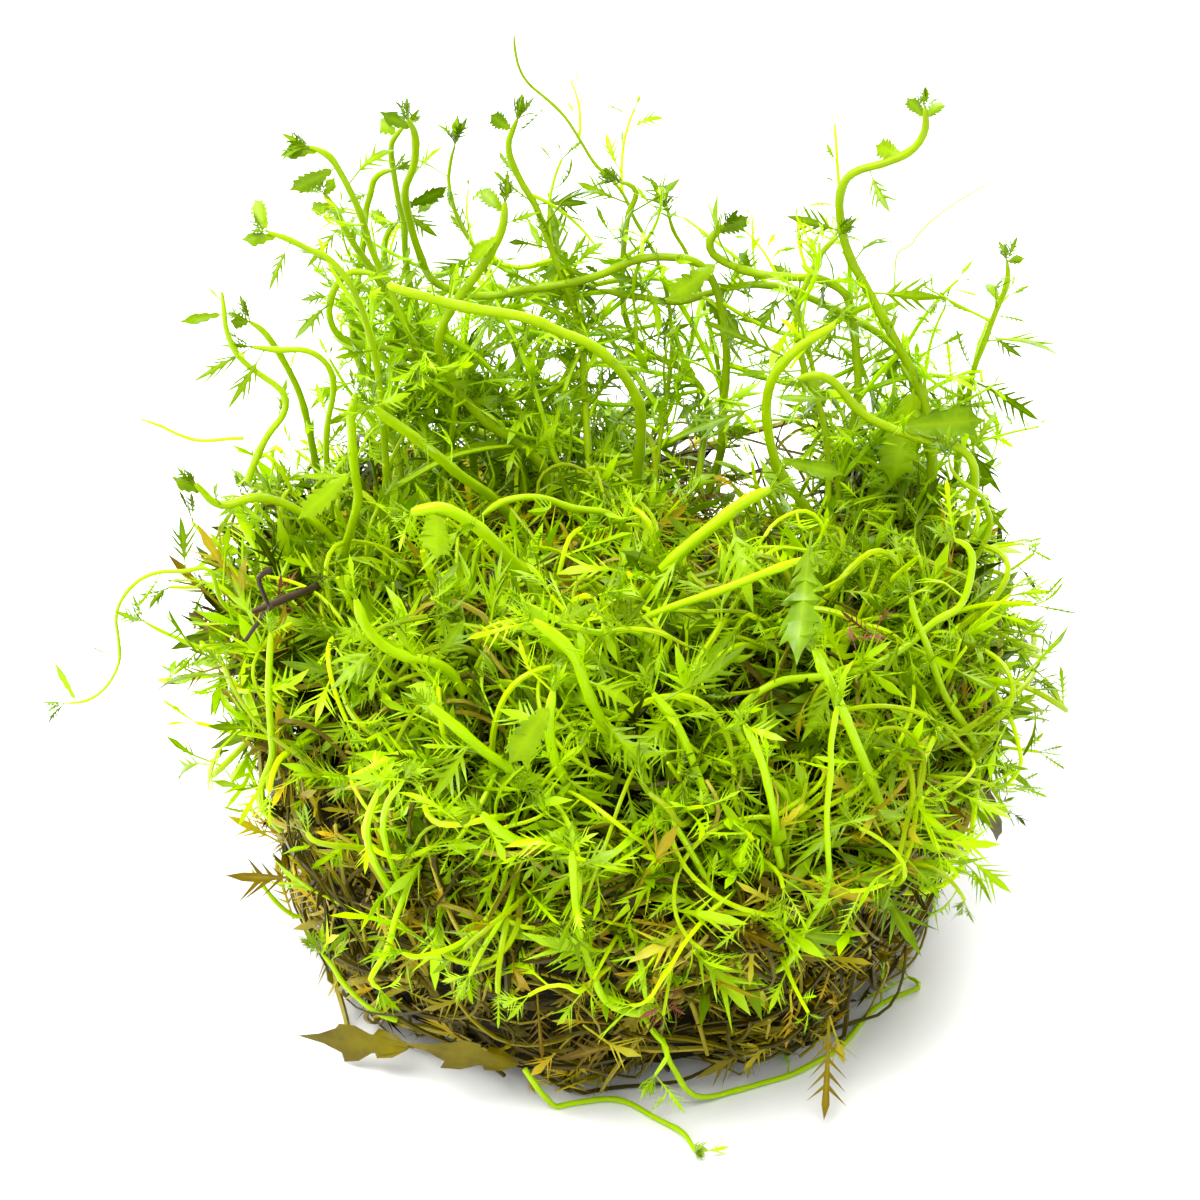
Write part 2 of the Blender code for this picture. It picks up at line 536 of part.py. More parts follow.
def outer_skin():
    """Give a search tree of the surface that the mat and the growth show together."""
    rings = mat_outer_rings() + growth_top_rings()
    return triangle_tree(*closed_rings(rings, Vector((0, 0, 0)), Vector((0, 0, growth_height(0, 0)))))


def triangle_tree(points, faces):
    """Make a search tree of a mesh."""
    return BVHTree.FromPolygons(points, faces, all_triangles=False)


class Stem:
    """One shoot's centre line, from its tip to its root, with its radii and its leaves."""

    def __init__(self, name, widths, places):
        self.name = name
        self.places = places
        count = len(places) - 1
        self.radii = [GRID_STEP / 2 * (widths[0] + (widths[1] - widths[0]) * i / count)
                      for i in range(count + 1)]


def surface_towards(body_tree, across, down):
    """Give how far towards the eye the body's surface is on a sight line, or None where it is missed."""
    aim = sight_place(across, down, 0) - EYE
    hit = body_tree.ray_cast(EYE, aim.normalized())[0]
    if hit is None:
        return None
    return (hit - AIM).dot(EYEWARD)


def shoot_stem(shoot, body_tree):
    """Place a shoot's centre line: its root on the body's surface, its tip at its own depth."""
    name, tip_width, root_width, tip_depth, bulge, route = shoot
    root_across, root_down = route[-1]
    root_towards = surface_towards(body_tree, root_across, root_down)
    if root_towards is None:
        root_towards = towards_at_depth(root_down, tip_depth)
    root_depth = sight_place(root_across, root_down, root_towards).y
    flat = [Vector((across, down, 0)) for across, down in route]
    lengths = [0.0]
    for first, second in zip(flat, flat[1:]):
        lengths.append(lengths[-1] + (second - first).length)
    points = []
    for (across, down), length in zip(route, lengths):
        share = length / lengths[-1]
        depth = tip_depth + (root_depth - tip_depth) * share ** DEPTH_EASE + bulge * math.sin(math.pi * share)
        points.append(sight_place(across, down, towards_at_depth(down, depth)))
    if name not in FORKS:
        foot, normal, _, gap = body_tree.find_nearest(points[-1])
        if gap > ROOT_REACH:
            points.append(foot + normal * (0.5 * GRID_STEP * root_width + GAP))
    return Stem(name, (tip_width, root_width), smooth_route(points, SAMPLE_LENGTH))


def runner_stem(runner):
    """Place a runner's centre line along the surface that the clump stands on."""
    name, tip_width, root_width, root_height, route = runner
    points = []
    last = len(route) - 1
    for index, (across, down) in enumerate(route):
        climb = max(0.0, index / last - RUNNER_FLAT_SHARE) / (1 - RUNNER_FLAT_SHARE)
        height = 0.5 * GRID_STEP * root_width + FLOOR_GAP + root_height * climb ** DEPTH_EASE
        points.append(sight_place(across, down, towards_at_height(down, height)))
    return Stem(name, (tip_width, root_width), smooth_route(points, SAMPLE_LENGTH))


def smooth_moves(moves, stems):
    """Spread each stem's moves along it, so that it bends and doesn't kink."""
    start = 0
    for stem in stems:
        end = start + len(stem.places)
        part = moves[start:end]
        for _ in range(SMOOTHING_PASSES):
            padded = np.vstack((part[:1], part, part[-1:]))
            part = (padded[:-2] + 2 * padded[1:-1] + padded[2:]) / 4
        moves[start:end] = part * MOVE_GAIN
        start = end
    return moves


def fork_pairs(stems):
    """Give the numbers of each forking stem and of the stem that it forks from."""
    names = [stem.name for stem in stems]
    return [(names.index(child), names.index(parent)) for child, parent in FORKS.items()]


def close_forks(stems):
    """Bring each forking stem's root up to the stem that it forks from."""
    for child, parent in reversed(fork_pairs(stems)):
        places, radius = stems[child].places, stems[child].radii[-1]
        end = places[-1]
        near = min(range(len(stems[parent].places)), key=lambda i: (stems[parent].places[i] - end).length)
        target, width = stems[parent].places[near], stems[parent].radii[near]
        incoming = (places[-FORK_HEADING_SAMPLE] - target).normalized()
        shift = target + incoming * (width + FORK_CLEARANCE * radius + GAP) - end
        for back in range(min(FORK_SAMPLES, len(places))):
            places[-1 - back] = places[-1 - back] + shift * (1 - back / FORK_SAMPLES) ** 2
        clear = width + radius + GAP
        while min((places[-1] - place).length for place in stems[parent].places) < clear:
            places.pop()
            stems[child].radii.pop()


def settle_roots(stems, body_tree):
    """Bring each stem's root down to the surface of the growth or the mat that it springs from."""
    for stem in stems:
        if stem.name in FORKS:
            continue
        end = stem.places[-1]
        foot, normal, _, _ = body_tree.find_nearest(end)
        shift = foot + normal * (stem.radii[-1] + GAP) - end
        for back in range(SETTLE_SAMPLES):
            stem.places[-1 - back] = stem.places[-1 - back] + shift * (1 - back / SETTLE_SAMPLES) ** 2


def spread_apart(stems, body_tree):
    """Move the stems until each clears its neighbours, the body and the surface below."""
    places = np.array([tuple(place) for stem in stems for place in stem.places])
    radii = np.array([radius for stem in stems for radius in stem.radii])
    owner = np.array([index for index, stem in enumerate(stems) for _ in stem.places])
    order = np.array([i for stem in stems for i in range(len(stem.places))])
    needed = radii[:, None] + radii[None, :] + STEM_GAP
    near_on_stem = (owner[:, None] == owner[None, :]) & (abs(order[:, None] - order[None, :]) < NEIGHBOUR_SAMPLES)
    for child, parent in fork_pairs(stems):
        joint = (owner == child) & (order > len(stems[child].places) - NEIGHBOUR_SAMPLES)
        near_on_stem |= joint[:, None] & (owner == parent)[None, :]
        near_on_stem |= joint[None, :] & (owner == parent)[:, None]
    for _ in range(SPREAD_ROUNDS):
        apart = places[:, None, :] - places[None, :, :]
        distance = np.sqrt((apart ** 2).sum(axis=2))
        short = np.clip(needed - distance, 0, None)
        short[near_on_stem] = 0
        first, second = np.nonzero(short)
        moves = np.zeros_like(places)
        if len(first):
            directions = apart[first, second]
            side = np.where(directions @ np.array(tuple(EYEWARD)) >= 0, 1.0, -1.0)
            directions = directions / (distance[first, second][:, None] + 1e-6)
            directions += SIGHT_SHARE * side[:, None] * np.array(tuple(EYEWARD))[None, :]
            directions /= np.sqrt((directions ** 2).sum(axis=1))[:, None]
            np.add.at(moves, first, directions * short[first, second][:, None] * 0.5)
        for index, place in enumerate(places):
            clear = radii[index] + STEM_GAP
            point = Vector(place)
            nearest, normal, _, gap = body_tree.find_nearest(point)
            inside = (point - nearest).dot(normal) < 0
            if inside or gap < clear:
                push = clear + gap if inside else clear - gap
                away = normal if inside or gap < 1e-6 else (point - nearest).normalized()
                moves[index] += np.array(tuple(away)) * min(push, LONGEST_PUSH)
        places += smooth_moves(moves, stems)
        places[:, 2] = np.maximum(places[:, 2], radii + FLOOR_GAP)
    start = 0
    for stem in stems:
        end = start + len(stem.places)
        stem.places = [Vector(place) for place in places[start:end]]
        start = end


def ring_frames(places):
    """Give a tangent and a side direction at each place, carried along without a sudden turn."""
    tangents = []
    for index in range(len(places)):
        before = places[max(index - 1, 0)]
        after = places[min(index + 1, len(places) - 1)]
        tangents.append((after - before).normalized())
    side = tangents[0].cross(EYEWARD)
    if side.length < 0.2:
        side = tangents[0].cross(ACROSS)
    frames = []
    for tangent in tangents:
        side = (side - side.dot(tangent) * tangent).normalized()
        frames.append((tangent, side, tangent.cross(side)))
    return frames


def leaf_widths(form):
    """Give the leaf's sections: place along it, share of its half width, forward shift of the edges."""
    teeth, between, sweep = LEAF_FORMS[form]
    sections = [(0.16, 0.16, 0.0)]
    for tooth in range(teeth):
        middle = 0.26 + 0.62 * (tooth + 0.5) / teeth
        half = 0.31 / teeth
        fullness = math.sin(math.pi * min(1.0, 0.22 + 0.78 * middle)) ** 0.5
        sections.append((middle - half * 0.5, fullness * between, 0.0))
        sections.append((middle + half * 0.25, fullness, sweep))
    sections.append((0.9, 0.2 * between + 0.06, 0.0))
    return sections


def leaf_sections(base, tip, width, form, roll, bow):
    """Give the four-cornered sections of a leaf that runs from its base to its tip, and the tip."""
    line = tip - base
    length = line.length
    forward = line.normalized()
    side = forward.cross(EYEWARD)
    side = (side if side.length > 0.2 else forward.cross(ACROSS)).normalized()
    side = Matrix.Rotation(roll, 3, forward) @ side
    up = side.cross(forward).normalized()
    sections = []
    for along, share, sweep in leaf_widths(form):
        middle = base + line * along + up * bow * length * 4 * along * (1 - along)
        half = max(0.5 * width * share, LEAF_LEAST_HALF)
        thick = 0.5 * LEAF_THICKNESS * (1.1 - 0.4 * along)
        edge = forward * sweep * length
        sections.append((middle - side * half + edge, middle - up * thick,
                         middle + side * half + edge, middle + up * thick))
    return sections, tip


def extrude_sections(points, faces, face, sections, tip):
    """Grow a leaf from one four-cornered face of a mesh, and close it at its tip."""
    corners = list(face)
    for number, section in enumerate(sections):
        ring = list(section)
        if number == 0:
            normal = (points[corners[1]] - points[corners[0]]).cross(points[corners[2]] - points[corners[0]])
            turn = (ring[1] - ring[0]).cross(ring[2] - ring[0])
            if turn.dot(normal) < 0:
                ring.reverse()
                flipped = True
            else:
                flipped = False
            best = min(range(4), key=lambda k: sum((ring[(i + k) % 4] - points[corners[i]]).length
                                                   for i in range(4)))
        elif flipped:
            ring.reverse()
        ring = [ring[(i + best) % 4] for i in range(4)]
        start = len(points)
        points.extend(ring)
        for i in range(4):
            j = (i + 1) % 4
            faces.append((corners[i], corners[j], start + j, start + i))
        corners = [start + i for i in range(4)]
    points.append(tip)
    for i in range(4):
        faces.append((corners[i], corners[(i + 1) % 4], len(points) - 1))


def stem_rings(stem, body_tree):
    """Pick places of a stem for its rings, closer together where it bends, with their radii."""
    places = stem.places
    picked = [0]
    for index in range(1, len(places) - 1):
        start = places[picked[-1]]
        length = (places[index] - start).length
        leaving = places[picked[-1] + 1] - start
        going = places[index + 1] - places[index]
        bent = leaving.angle(going, 0) > SEGMENT_BEND and length > SHORT_SEGMENT
        hugging = body_tree.find_nearest(places[index])[3] < SHORT_SEGMENT and length > SHORT_SEGMENT
        if length > LONG_SEGMENT or bent or hugging:
            picked.append(index)
    if (places[-1] - places[picked[-1]]).length < SHORT_SEGMENT and len(picked) > 1:
        picked.pop()
    picked.append(len(places) - 1)
    return [places[i] for i in picked], [stem.radii[i] for i in picked]


def stem_shape(stem, body_tree):
    """Model a stem as a closed tube: its points, its side faces, its end faces and its centre line."""
    places, radii = stem_rings(stem, body_tree)
    sides = 5 if max(radii) > THICK_STEM_RADIUS else 4
    points = []
    for place, radius, (_, side, other) in zip(places, radii, ring_frames(places)):
        for step in range(sides):
            turn = 2 * math.pi * step / sides
            points.append(place + radius * (math.cos(turn) * side + math.sin(turn) * other))
    faces = []
    for ring in range(len(places) - 1):
        for step in range(sides):
            after = (step + 1) % sides
            faces.append((ring * sides + step, ring * sides + after,
                          (ring + 1) * sides + after, (ring + 1) * sides + step))
    points.append(places[0])
    points.append(places[-1])
    last = (len(places) - 1) * sides
    caps = []
    for step in range(sides):
        after = (step + 1) % sides
        caps.append((after, step, len(points) - 2))
        caps.append((last + step, last + after, len(points) - 1))
    return points, faces, caps, places


def grid_distance(place, spot):
    """Give the distance on the drawing plane between a place and a grid point."""
    towards = (place - AIM).dot(EYEWARD)
    return (place - sight_place(spot[0], spot[1], towards)).length


def leaf_base_face(shape, attach, aim):
    """Choose the stem's side face nearest to where a leaf leaves it, on the side that it leans to."""
    points, faces, _, _ = shape
    best, best_cost = None, None
    for index, face in enumerate(faces):
        corners = [points[i] for i in face]
        middle = sum(corners, Vector()) / 4
        normal = (corners[1] - corners[0]).cross(corners[2] - corners[0]).normalized()
        cost = grid_distance(middle, attach) - LEAN_WEIGHT * normal.dot((aim - middle).normalized())
        if best is None or cost < best_cost:
            best, best_cost = index, cost
    return best


def grow_leaf(shape, leaf, obstacles, sisters, own_tree):
    """Grow one leaf from a stem, turned until it stays clear of every other piece."""
    points, faces, grown_faces, places = shape
    _, form, width, attach, tip_spot = leaf
    nearest = min(places, key=lambda place: grid_distance(place, attach))
    towards = (nearest - AIM).dot(EYEWARD)
    for shrink in LEAF_SHRINKS:
        for lean in LEAF_LEANS:
            tip = sight_place(tip_spot[0], tip_spot[1], towards + lean)
            tip = nearest + (tip - nearest) * shrink
            tip.z = max(tip.z, LEAF_TIP_HEIGHT)
            chosen = leaf_base_face(shape, attach, tip)
            corners = [points[i] for i in faces[chosen]]
            base = sum(corners, Vector()) / 4
            for roll in LEAF_ROLLS:
                for bow in LEAF_BOWS:
                    sections, end = leaf_sections(base, tip, width * GRID_STEP * shrink, form, roll, bow)
                    if any(corner.z < LEAF_EDGE_HEIGHT for section in sections for corner in section):
                        continue
                    blade_points = [point for section in sections for point in section] + [end]
                    blade = triangle_tree(blade_points, leaf_faces(len(blade_points)))
                    if blade.overlap(own_tree):
                        continue
                    outward = (tip - base).normalized() * 0.05
                    foot = [base + 0.9 * (corner - base) + outward for corner in corners]
                    whole = triangle_tree(foot + blade_points, leaf_faces(len(blade_points) + 4))
                    if any(whole.overlap(sister) for sister in sisters):
                        continue
                    if all(clear_of(blade, blade_points, tree) for tree in obstacles):
                        face = faces.pop(chosen)
                        extrude_sections(points, grown_faces, face, sections, end)
                        return whole
    return None


def leaf_faces(count):
    """List the faces of a leaf whose sections of four points and tip make so many points."""
    faces = []
    rings = (count - 1) // 4
    for ring in range(rings - 1):
        for i in range(4):
            j = (i + 1) % 4
            faces.append((ring * 4 + i, ring * 4 + j, ring * 4 + 4 + j, ring * 4 + 4 + i))
    last = (rings - 1) * 4
    for i in range(4):
        faces.append((last + i, last + (i + 1) % 4, count - 1))
    return faces


def large_leaf_shape(form, width, tip_depth, base_depth, route, body_tree):
    """Model a large leaf as a piece of its own, bent along its route and kept clear of the body."""
    points = []
    last = len(route) - 1
    for index, (across, down) in enumerate(route):
        depth = tip_depth + (base_depth - tip_depth) * index / last
        points.append(sight_place(across, down, towards_at_depth(down, depth)))
    midrib = smooth_route(points, MIDRIB_STEP)
    midrib.reverse()
    frames = ring_frames(midrib)
    end = len(midrib) - 1
    rings = []
    for along, share, sweep in [(0.0, 0.1, 0.0)] + leaf_widths(form):
        middle = midrib[round(end * along)]
        shifted = midrib[min(end, round(end * (along + sweep)))] - middle
        _, side, up = frames[round(end * along)]
        half = max(0.5 * width * GRID_STEP * share, LARGE_LEAST_HALF)
        thick = 0.5 * LEAF_THICKNESS
        rings.append([middle - side * half + shifted, middle - up * thick,
                      middle + side * half + shifted, middle + up * thick])
    points = [corner for ring in rings for corner in ring] + [midrib[-1], midrib[0] - frames[0][0] * 0.2]
    count = len(points)
    for number, point in enumerate(points):
        for _ in range(LARGE_LEAF_ROUNDS):
            foot, normal, _, gap = body_tree.find_nearest(point)
            inside = (point - foot).dot(normal) < 0
            if inside or gap < LARGE_LEAF_GAP:
                point = foot + normal * LARGE_LEAF_PUSH * GAP
        point.z = max(point.z, LARGE_LEAF_HEIGHT)
        points[number] = point
    faces = leaf_faces(count - 1)
    for i in range(4):
        faces.append(((i + 1) % 4, i, count - 1))
    return points, faces


def clear_of(trial, trial_points, tree):
    """Say whether a trial leaf keeps its gap to another piece."""
    if trial.overlap(tree):
        return False
    for point in trial_points:
        found = tree.find_nearest(point, GAP)
        if found[0] is not None:
            return False
    return True


def material(name, colour, roughness):
    """Make a plain material of one colour."""
    made = bpy.data.materials.new(name)
    made.use_nodes = True
    shader = made.node_tree.nodes["Principled BSDF"]
    shader.inputs["Base Color"].default_value = (*colour, 1)
    shader.inputs["Roughness"].default_value = roughness
    return made


def add_piece(name, points, faces, colour, roughness, smooth_angle):
    """Make one named object from points in millimetres."""
    mesh = bpy.data.meshes.new(name)
    mesh.from_pydata([tuple(point * MM) for point in points], [], faces)
    mesh.validate()
    mesh.shade_smooth()
    mesh.set_sharp_from_angle(angle=smooth_angle)
    piece = bpy.data.objects.new(name, mesh)
    bpy.context.scene.collection.objects.link(piece)
    mesh.materials.append(material(name + "_finish", colour, roughness))
    return piece


for old in list(bpy.data.objects):
    bpy.data.objects.remove(old)

mat_points, mat_faces = root_mat_shape()
growth_points, growth_faces = young_growth_shape()
add_piece("root_mat", mat_points, mat_faces, OLIVE, 0.6, math.radians(60))
add_piece("young_growth", growth_points, growth_faces, DEEP_GREEN, 0.5, math.radians(60))
body = outer_skin()

stems = [shoot_stem(shoot, body) for shoot in SHOOTS] + [runner_stem(runner) for runner in RUNNERS]
spread_apart(stems, body)
settle_roots(stems, body)
close_forks(stems)
shapes = {stem.name: stem_shape(stem, body) for stem in stems}
trees = {name: triangle_tree(shape[0], shape[1] + shape[2]) for name, shape in shapes.items()}
pieces = {}
for name, form, width, tip_depth, base_depth, route in LARGE_LEAVES:
    pieces[name] = large_leaf_shape(form, width, tip_depth, base_depth, route, body)
solid_trees = [body] + [triangle_tree(*piece) for piece in pieces.values()]
grown = []
for leaf in LEAVES:
    owner = leaf[0]
    others = solid_trees + [tree for name, tree in trees.items() if name != owner]
    others += [tree for name, tree in grown if name != owner]
    sisters = [tree for name, tree in grown if name == owner]
    blade = grow_leaf(shapes[owner], leaf, others, sisters, trees[owner])
    if blade is not None:
        grown.append((owner, blade))
for name, shape in shapes.items():
    pieces[name] = (shape[0], shape[1] + shape[2])
for name, (points, faces) in pieces.items():
    colour = PIECE_COLOURS.get(name, FRESH_GREEN)
    add_piece(name, points, faces, colour, 0.4, math.radians(50))
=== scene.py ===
import math

import bpy
import numpy as np
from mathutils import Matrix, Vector, noise
from mathutils.bvhtree import BVHTree


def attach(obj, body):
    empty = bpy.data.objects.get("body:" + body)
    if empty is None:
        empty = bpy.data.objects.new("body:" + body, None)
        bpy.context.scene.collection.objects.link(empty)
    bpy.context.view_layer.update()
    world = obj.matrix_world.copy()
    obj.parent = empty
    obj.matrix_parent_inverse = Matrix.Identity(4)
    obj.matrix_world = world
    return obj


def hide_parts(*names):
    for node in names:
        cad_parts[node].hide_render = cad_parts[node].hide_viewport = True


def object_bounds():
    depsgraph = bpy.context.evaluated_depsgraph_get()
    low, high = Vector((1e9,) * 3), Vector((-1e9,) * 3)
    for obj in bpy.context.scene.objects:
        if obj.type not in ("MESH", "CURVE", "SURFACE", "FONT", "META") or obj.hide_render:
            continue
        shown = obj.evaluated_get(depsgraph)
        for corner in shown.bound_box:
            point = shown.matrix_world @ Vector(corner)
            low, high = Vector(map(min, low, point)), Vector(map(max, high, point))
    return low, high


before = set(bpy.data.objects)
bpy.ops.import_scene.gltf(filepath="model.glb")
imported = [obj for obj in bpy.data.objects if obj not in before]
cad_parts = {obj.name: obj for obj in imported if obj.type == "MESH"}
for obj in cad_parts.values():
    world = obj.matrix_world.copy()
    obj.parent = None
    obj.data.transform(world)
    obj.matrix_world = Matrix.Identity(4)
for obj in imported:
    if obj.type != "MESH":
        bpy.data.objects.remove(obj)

cad_low, cad_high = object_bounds()
bpy.ops.object.select_all(action="DESELECT")

# The photograph's sight line: the clump is seen from the front and above, by a long lens.
# The shoots' routes are drawn on a plane square to that line, in steps of a tenth of a millimetre
# across and down from its top left corner. Other sizes are in millimetres unless they say metres.
MM = 0.001
GRID_STEP = 0.1
GRID_MIDDLE = 600
EYE_ELEVATION = math.radians(36)
EYE_DISTANCE = 430.0
SEEN_WIDTH = 120.0
SENSOR_WIDTH = 36.0
CLIP_START = 0.01
AIM = Vector((-2, 0, 37))
ACROSS = Vector((1, 0, 0))
UPWARD = Vector((0, math.sin(EYE_ELEVATION), math.cos(EYE_ELEVATION)))
EYEWARD = Vector((0, -math.cos(EYE_ELEVATION), math.sin(EYE_ELEVATION)))
EYE = AIM + EYE_DISTANCE * EYEWARD

camera_data = bpy.data.cameras.new("camera")
camera_data.sensor_width = SENSOR_WIDTH
camera_data.lens = SENSOR_WIDTH * EYE_DISTANCE / SEEN_WIDTH
camera_data.clip_start = CLIP_START
camera = bpy.data.objects.new("camera", camera_data)
camera.location = EYE * MM
camera.rotation_mode = "QUATERNION"
camera.rotation_quaternion = (-EYEWARD).to_track_quat("-Z", "Y")
bpy.context.scene.collection.objects.link(camera)
bpy.context.scene.camera = camera


# The stage: a white sweep under a bright, soft overhead light, with some light from behind
# that glows through the leaves. The floor is white paint, and burns out but for the clump's shadow.
# The floor and the lights are measured in metres, and the lights' power in watts.
FLOOR_SIZE = 6.0
FLOOR_WHITE = "#F4F4F3"
PAINT_GRAIN = 1.1
WORLD_STRENGTH = 0.97
# Name, place, size and power
LIGHTS = (
    ("overhead_softbox", (-0.15, -0.12, 0.75), 0.55, 9.0),
    ("back_softbox", (0.2, 0.6, 0.45), 0.5, 6.5),
    ("left_softbox", (-0.6, 0.1, 0.35), 0.4, 4.0),
)


def linear(hex_colour):
    """Turn an sRGB hex colour into linear red, green, blue and alpha."""
    parts = [int(hex_colour[i:i + 2], 16) / 255 for i in (1, 3, 5)]
    return tuple(p / 12.92 if p <= 0.04045 else ((p + 0.055) / 1.055) ** 2.4 for p in parts) + (1.0,)


def add_node(tree, kind, settings=None, links=None):
    """Add a node, with values by name for its sockets and settings, and links into its sockets.

    A colour ramp's stops are given as hex colours, and are spaced evenly.
    """
    node = tree.nodes.new(kind)
    for name, value in (settings or {}).items():
        if name == "stops":
            for _ in value[2:]:
                node.color_ramp.elements.new(0.5)
            for index, (stop, colour) in enumerate(zip(node.color_ramp.elements, value)):
                stop.position = index / (len(value) - 1)
                stop.color = linear(colour)
        elif isinstance(name, int) or name in node.inputs:
            node.inputs[name].default_value = value
        else:
            setattr(node, name, value)
    for name, source in (links or {}).items():
        tree.links.new(source, node.inputs[name])
    return node


def new_material(name):
    """Make an empty node material, and give it with its tree."""
    made = bpy.data.materials.new(name)
    made.use_nodes = True
    made.node_tree.nodes.clear()
    return made, made.node_tree


def white_paint():
    """Matt white paint, whose faint grain keeps it from looking like paper."""
    made, tree = new_material("white_paint")
    grain = add_node(tree, "ShaderNodeTexNoise", {"Scale": 1 / (PAINT_GRAIN * MM), "Detail": 2.0})
    bump = add_node(tree, "ShaderNodeBump", {"Strength": 0.05, "Distance": 0.0001},
                    {"Height": grain.outputs["Fac"]})
    shader = add_node(tree, "ShaderNodeBsdfPrincipled",
                      {"Base Color": linear(FLOOR_WHITE), "Roughness": 0.9, "Specular IOR Level": 0.1},
                      {"Normal": bump.outputs["Normal"]})
    add_node(tree, "ShaderNodeOutputMaterial", {}, {"Surface": shader.outputs["BSDF"]})
    return made


bpy.ops.mesh.primitive_plane_add(size=FLOOR_SIZE, location=(0, 0, 0))
floor = bpy.context.object
floor.name = "floor"
floor.data.materials.append(white_paint())
floor.select_set(False)

world = bpy.data.worlds.new("bright_studio")
world.use_nodes = True
background = world.node_tree.nodes["Background"]
background.inputs["Color"].default_value = (1, 1, 1, 1)
background.inputs["Strength"].default_value = WORLD_STRENGTH
bpy.context.scene.world = world
bpy.context.scene.view_settings.view_transform = "Standard"

for light_name, place, size, power in LIGHTS:
    light_data = bpy.data.lights.new(light_name, "AREA")
    light_data.size = size
    light_data.energy = power
    light = bpy.data.objects.new(light_name, light_data)
    light.location = place
    light.rotation_mode = "QUATERNION"
    light.rotation_quaternion = (AIM * MM - Vector(place)).to_track_quat("-Z", "Y")
    bpy.context.scene.collection.objects.link(light)


# Root mat: old stems, leaves and roots that matted against the cup's wall, so the plug keeps the
# cup's taper and a raised rim. Under the loose leaves lies a nearly black core, which is painted shade for
# the gaps between them.
MAT_FOOT_RADIUS = 33.0
MAT_RIM_RADIUS = 40.0
MAT_LUMP = 3.2
RIM_WIDTH = 5.0
MAT_SECTORS = 36

# Height of the mat's rim every 45 degrees, from the right and then round by the back
RIM_HEIGHTS = (33.0, 38.0, 31.0, 35.0, 35.0, 27.0, 24.0, 28.0)

# Lumps of the mat's wall: how fast they change round the mat and up it, and their share of MAT_LUMP
WALL_LUMPS = ((1.9, 0.04), (5.2, 0.16))
WALL_LUMP_SHARE = 0.6

# Rings of the underside: share of the foot's outline. Rings of the wall: share of the rim's height, inset
UNDERSIDE_RINGS = (0.5, 0.86)
WALL_RINGS = ((0.05, 0.6), (0.3, 0.0), (0.55, 0.0), (0.8, 0.2), (0.95, 0.9), (1.0, 0.5 * RIM_WIDTH))

# The young growth's top, which roots crawl over too: height, fall towards its edge, reach, shift to
# the front, height over the rim, its rings as shares of its edge's radius, and its gap to the mat
GROWTH_TOP = 39.0
GROWTH_FALL = 9.0
GROWTH_REACH = 40.0
GROWTH_FORWARD = 4.0
GROWTH_OVER_RIM = 4.0
GROWTH_RINGS = (0.86, 0.68, 0.5, 0.34, 0.17)
GROWTH_EDGE = MAT_RIM_RADIUS - 0.5 * RIM_WIDTH
GAP = 0.4

# Hummocks and hollows of the young growth: x, y, height added, radius
HUMMOCKS = (
    (-16, -12, 6, 8), (3, -18, 7, 8), (18, -8, 6, 8), (-3, 2, 6, 7), (-22, 8, 6, 7),
    (20, 14, 6, 7), (-6, 20, 5, 7), (30, 0, 5, 6), (-30, -6, 5, 6), (8, -31, 5, 6),
    (-14, -29, 5, 6), (27, -17, 5, 6), (6, 30, 4, 6), (-24, 22, 4, 6), (30, 18, 4, 6),
    (-10, 4, -8, 5), (16, -23, -9, 6), (-23, -20, -6, 5), (10, 6, -7, 5), (-4, -8, -5, 4),
    (24, 6, -6, 5), (-14, 15, -6, 5), (-4, -29, -5, 4), (12, 22, -5, 5),
)

# At the back, right of the middle, the clump is low, and the surface behind it shows. The foot of
# that gap is a height on the drawing plane, and its edge is in half widths. Leaves sink into its floor.
GAP_MIDDLE = 15.0
GAP_HALF = 9.5
GAP_START = 14.0
GAP_FOOT = 5.0
GAP_SHOULDER = 16.0
GAP_EDGE = 1.4
GAP_SINK = 0.3
NO_LIMIT = 1000.0

# How far pieces may reach beyond the solids' box, as shares of its sides: leaf tips, and any point
TIP_OVERHANG = 0.014
OVERHANG = 0.02
TIP_HEIGHT = 0.9
LOWEST = 0.05
TIPS_LOW = ((1 + TIP_OVERHANG) * np.array(cad_low) - TIP_OVERHANG * np.array(cad_high)) / MM
TIPS_HIGH = ((1 + TIP_OVERHANG) * np.array(cad_high) - TIP_OVERHANG * np.array(cad_low)) / MM
TIPS_LOW[2] = TIP_HEIGHT

# The dark core under the leaves. Its lumps: how fast they change, and their height. CORE_MERGE is the
# distance in metres at which points are merged
CORE_SINK = 2.4
CORE_ROUGHNESS = 1.4
CORE_PLACE = Vector((3, 7, 1))
CORE_LUMPS = ((0.22, 1.0), (0.6, 0.6))
CORE_CUTS = 3
CORE_MERGE = 0.00001

# It is sunk where it faces outwards or up, and hollowed at the back and the left, where light comes
# through the leaves. A stretch is a start and a length, and a way is a direction
OUTWARD = (-0.1, 0.6)
UPWARD_WEIGHT = 0.4
CORE_HOLLOW = 7.0
BEHIND, BEHIND_UP, BEHIND_WAY = (2, 20), (14, 14), Vector((0, 0.3, 1))
LEFTWARD, LEFTWARD_UP, LEFTWARD_WAY = (16, 14), (12, 10), Vector((1, 0, -0.4))
LEFTWARD_SHARE = 0.7

# Leaves of the mat: count, least and most depth, shortest and longest, darkest and palest tint, lift
# of the tips and droop
# The deeper layer gets darker tints: painted shade
DARK_WALL = (1700, (1.0, 3.2), (4.5, 9), (0.0, 0.45), 0.14, 0.2)
BRIGHT_WALL = (1650, (-0.2, 1.8), (3.5, 8), (0.25, 0.9), 0.22, 0.1)
UNDERSIDE_TURN = -0.4

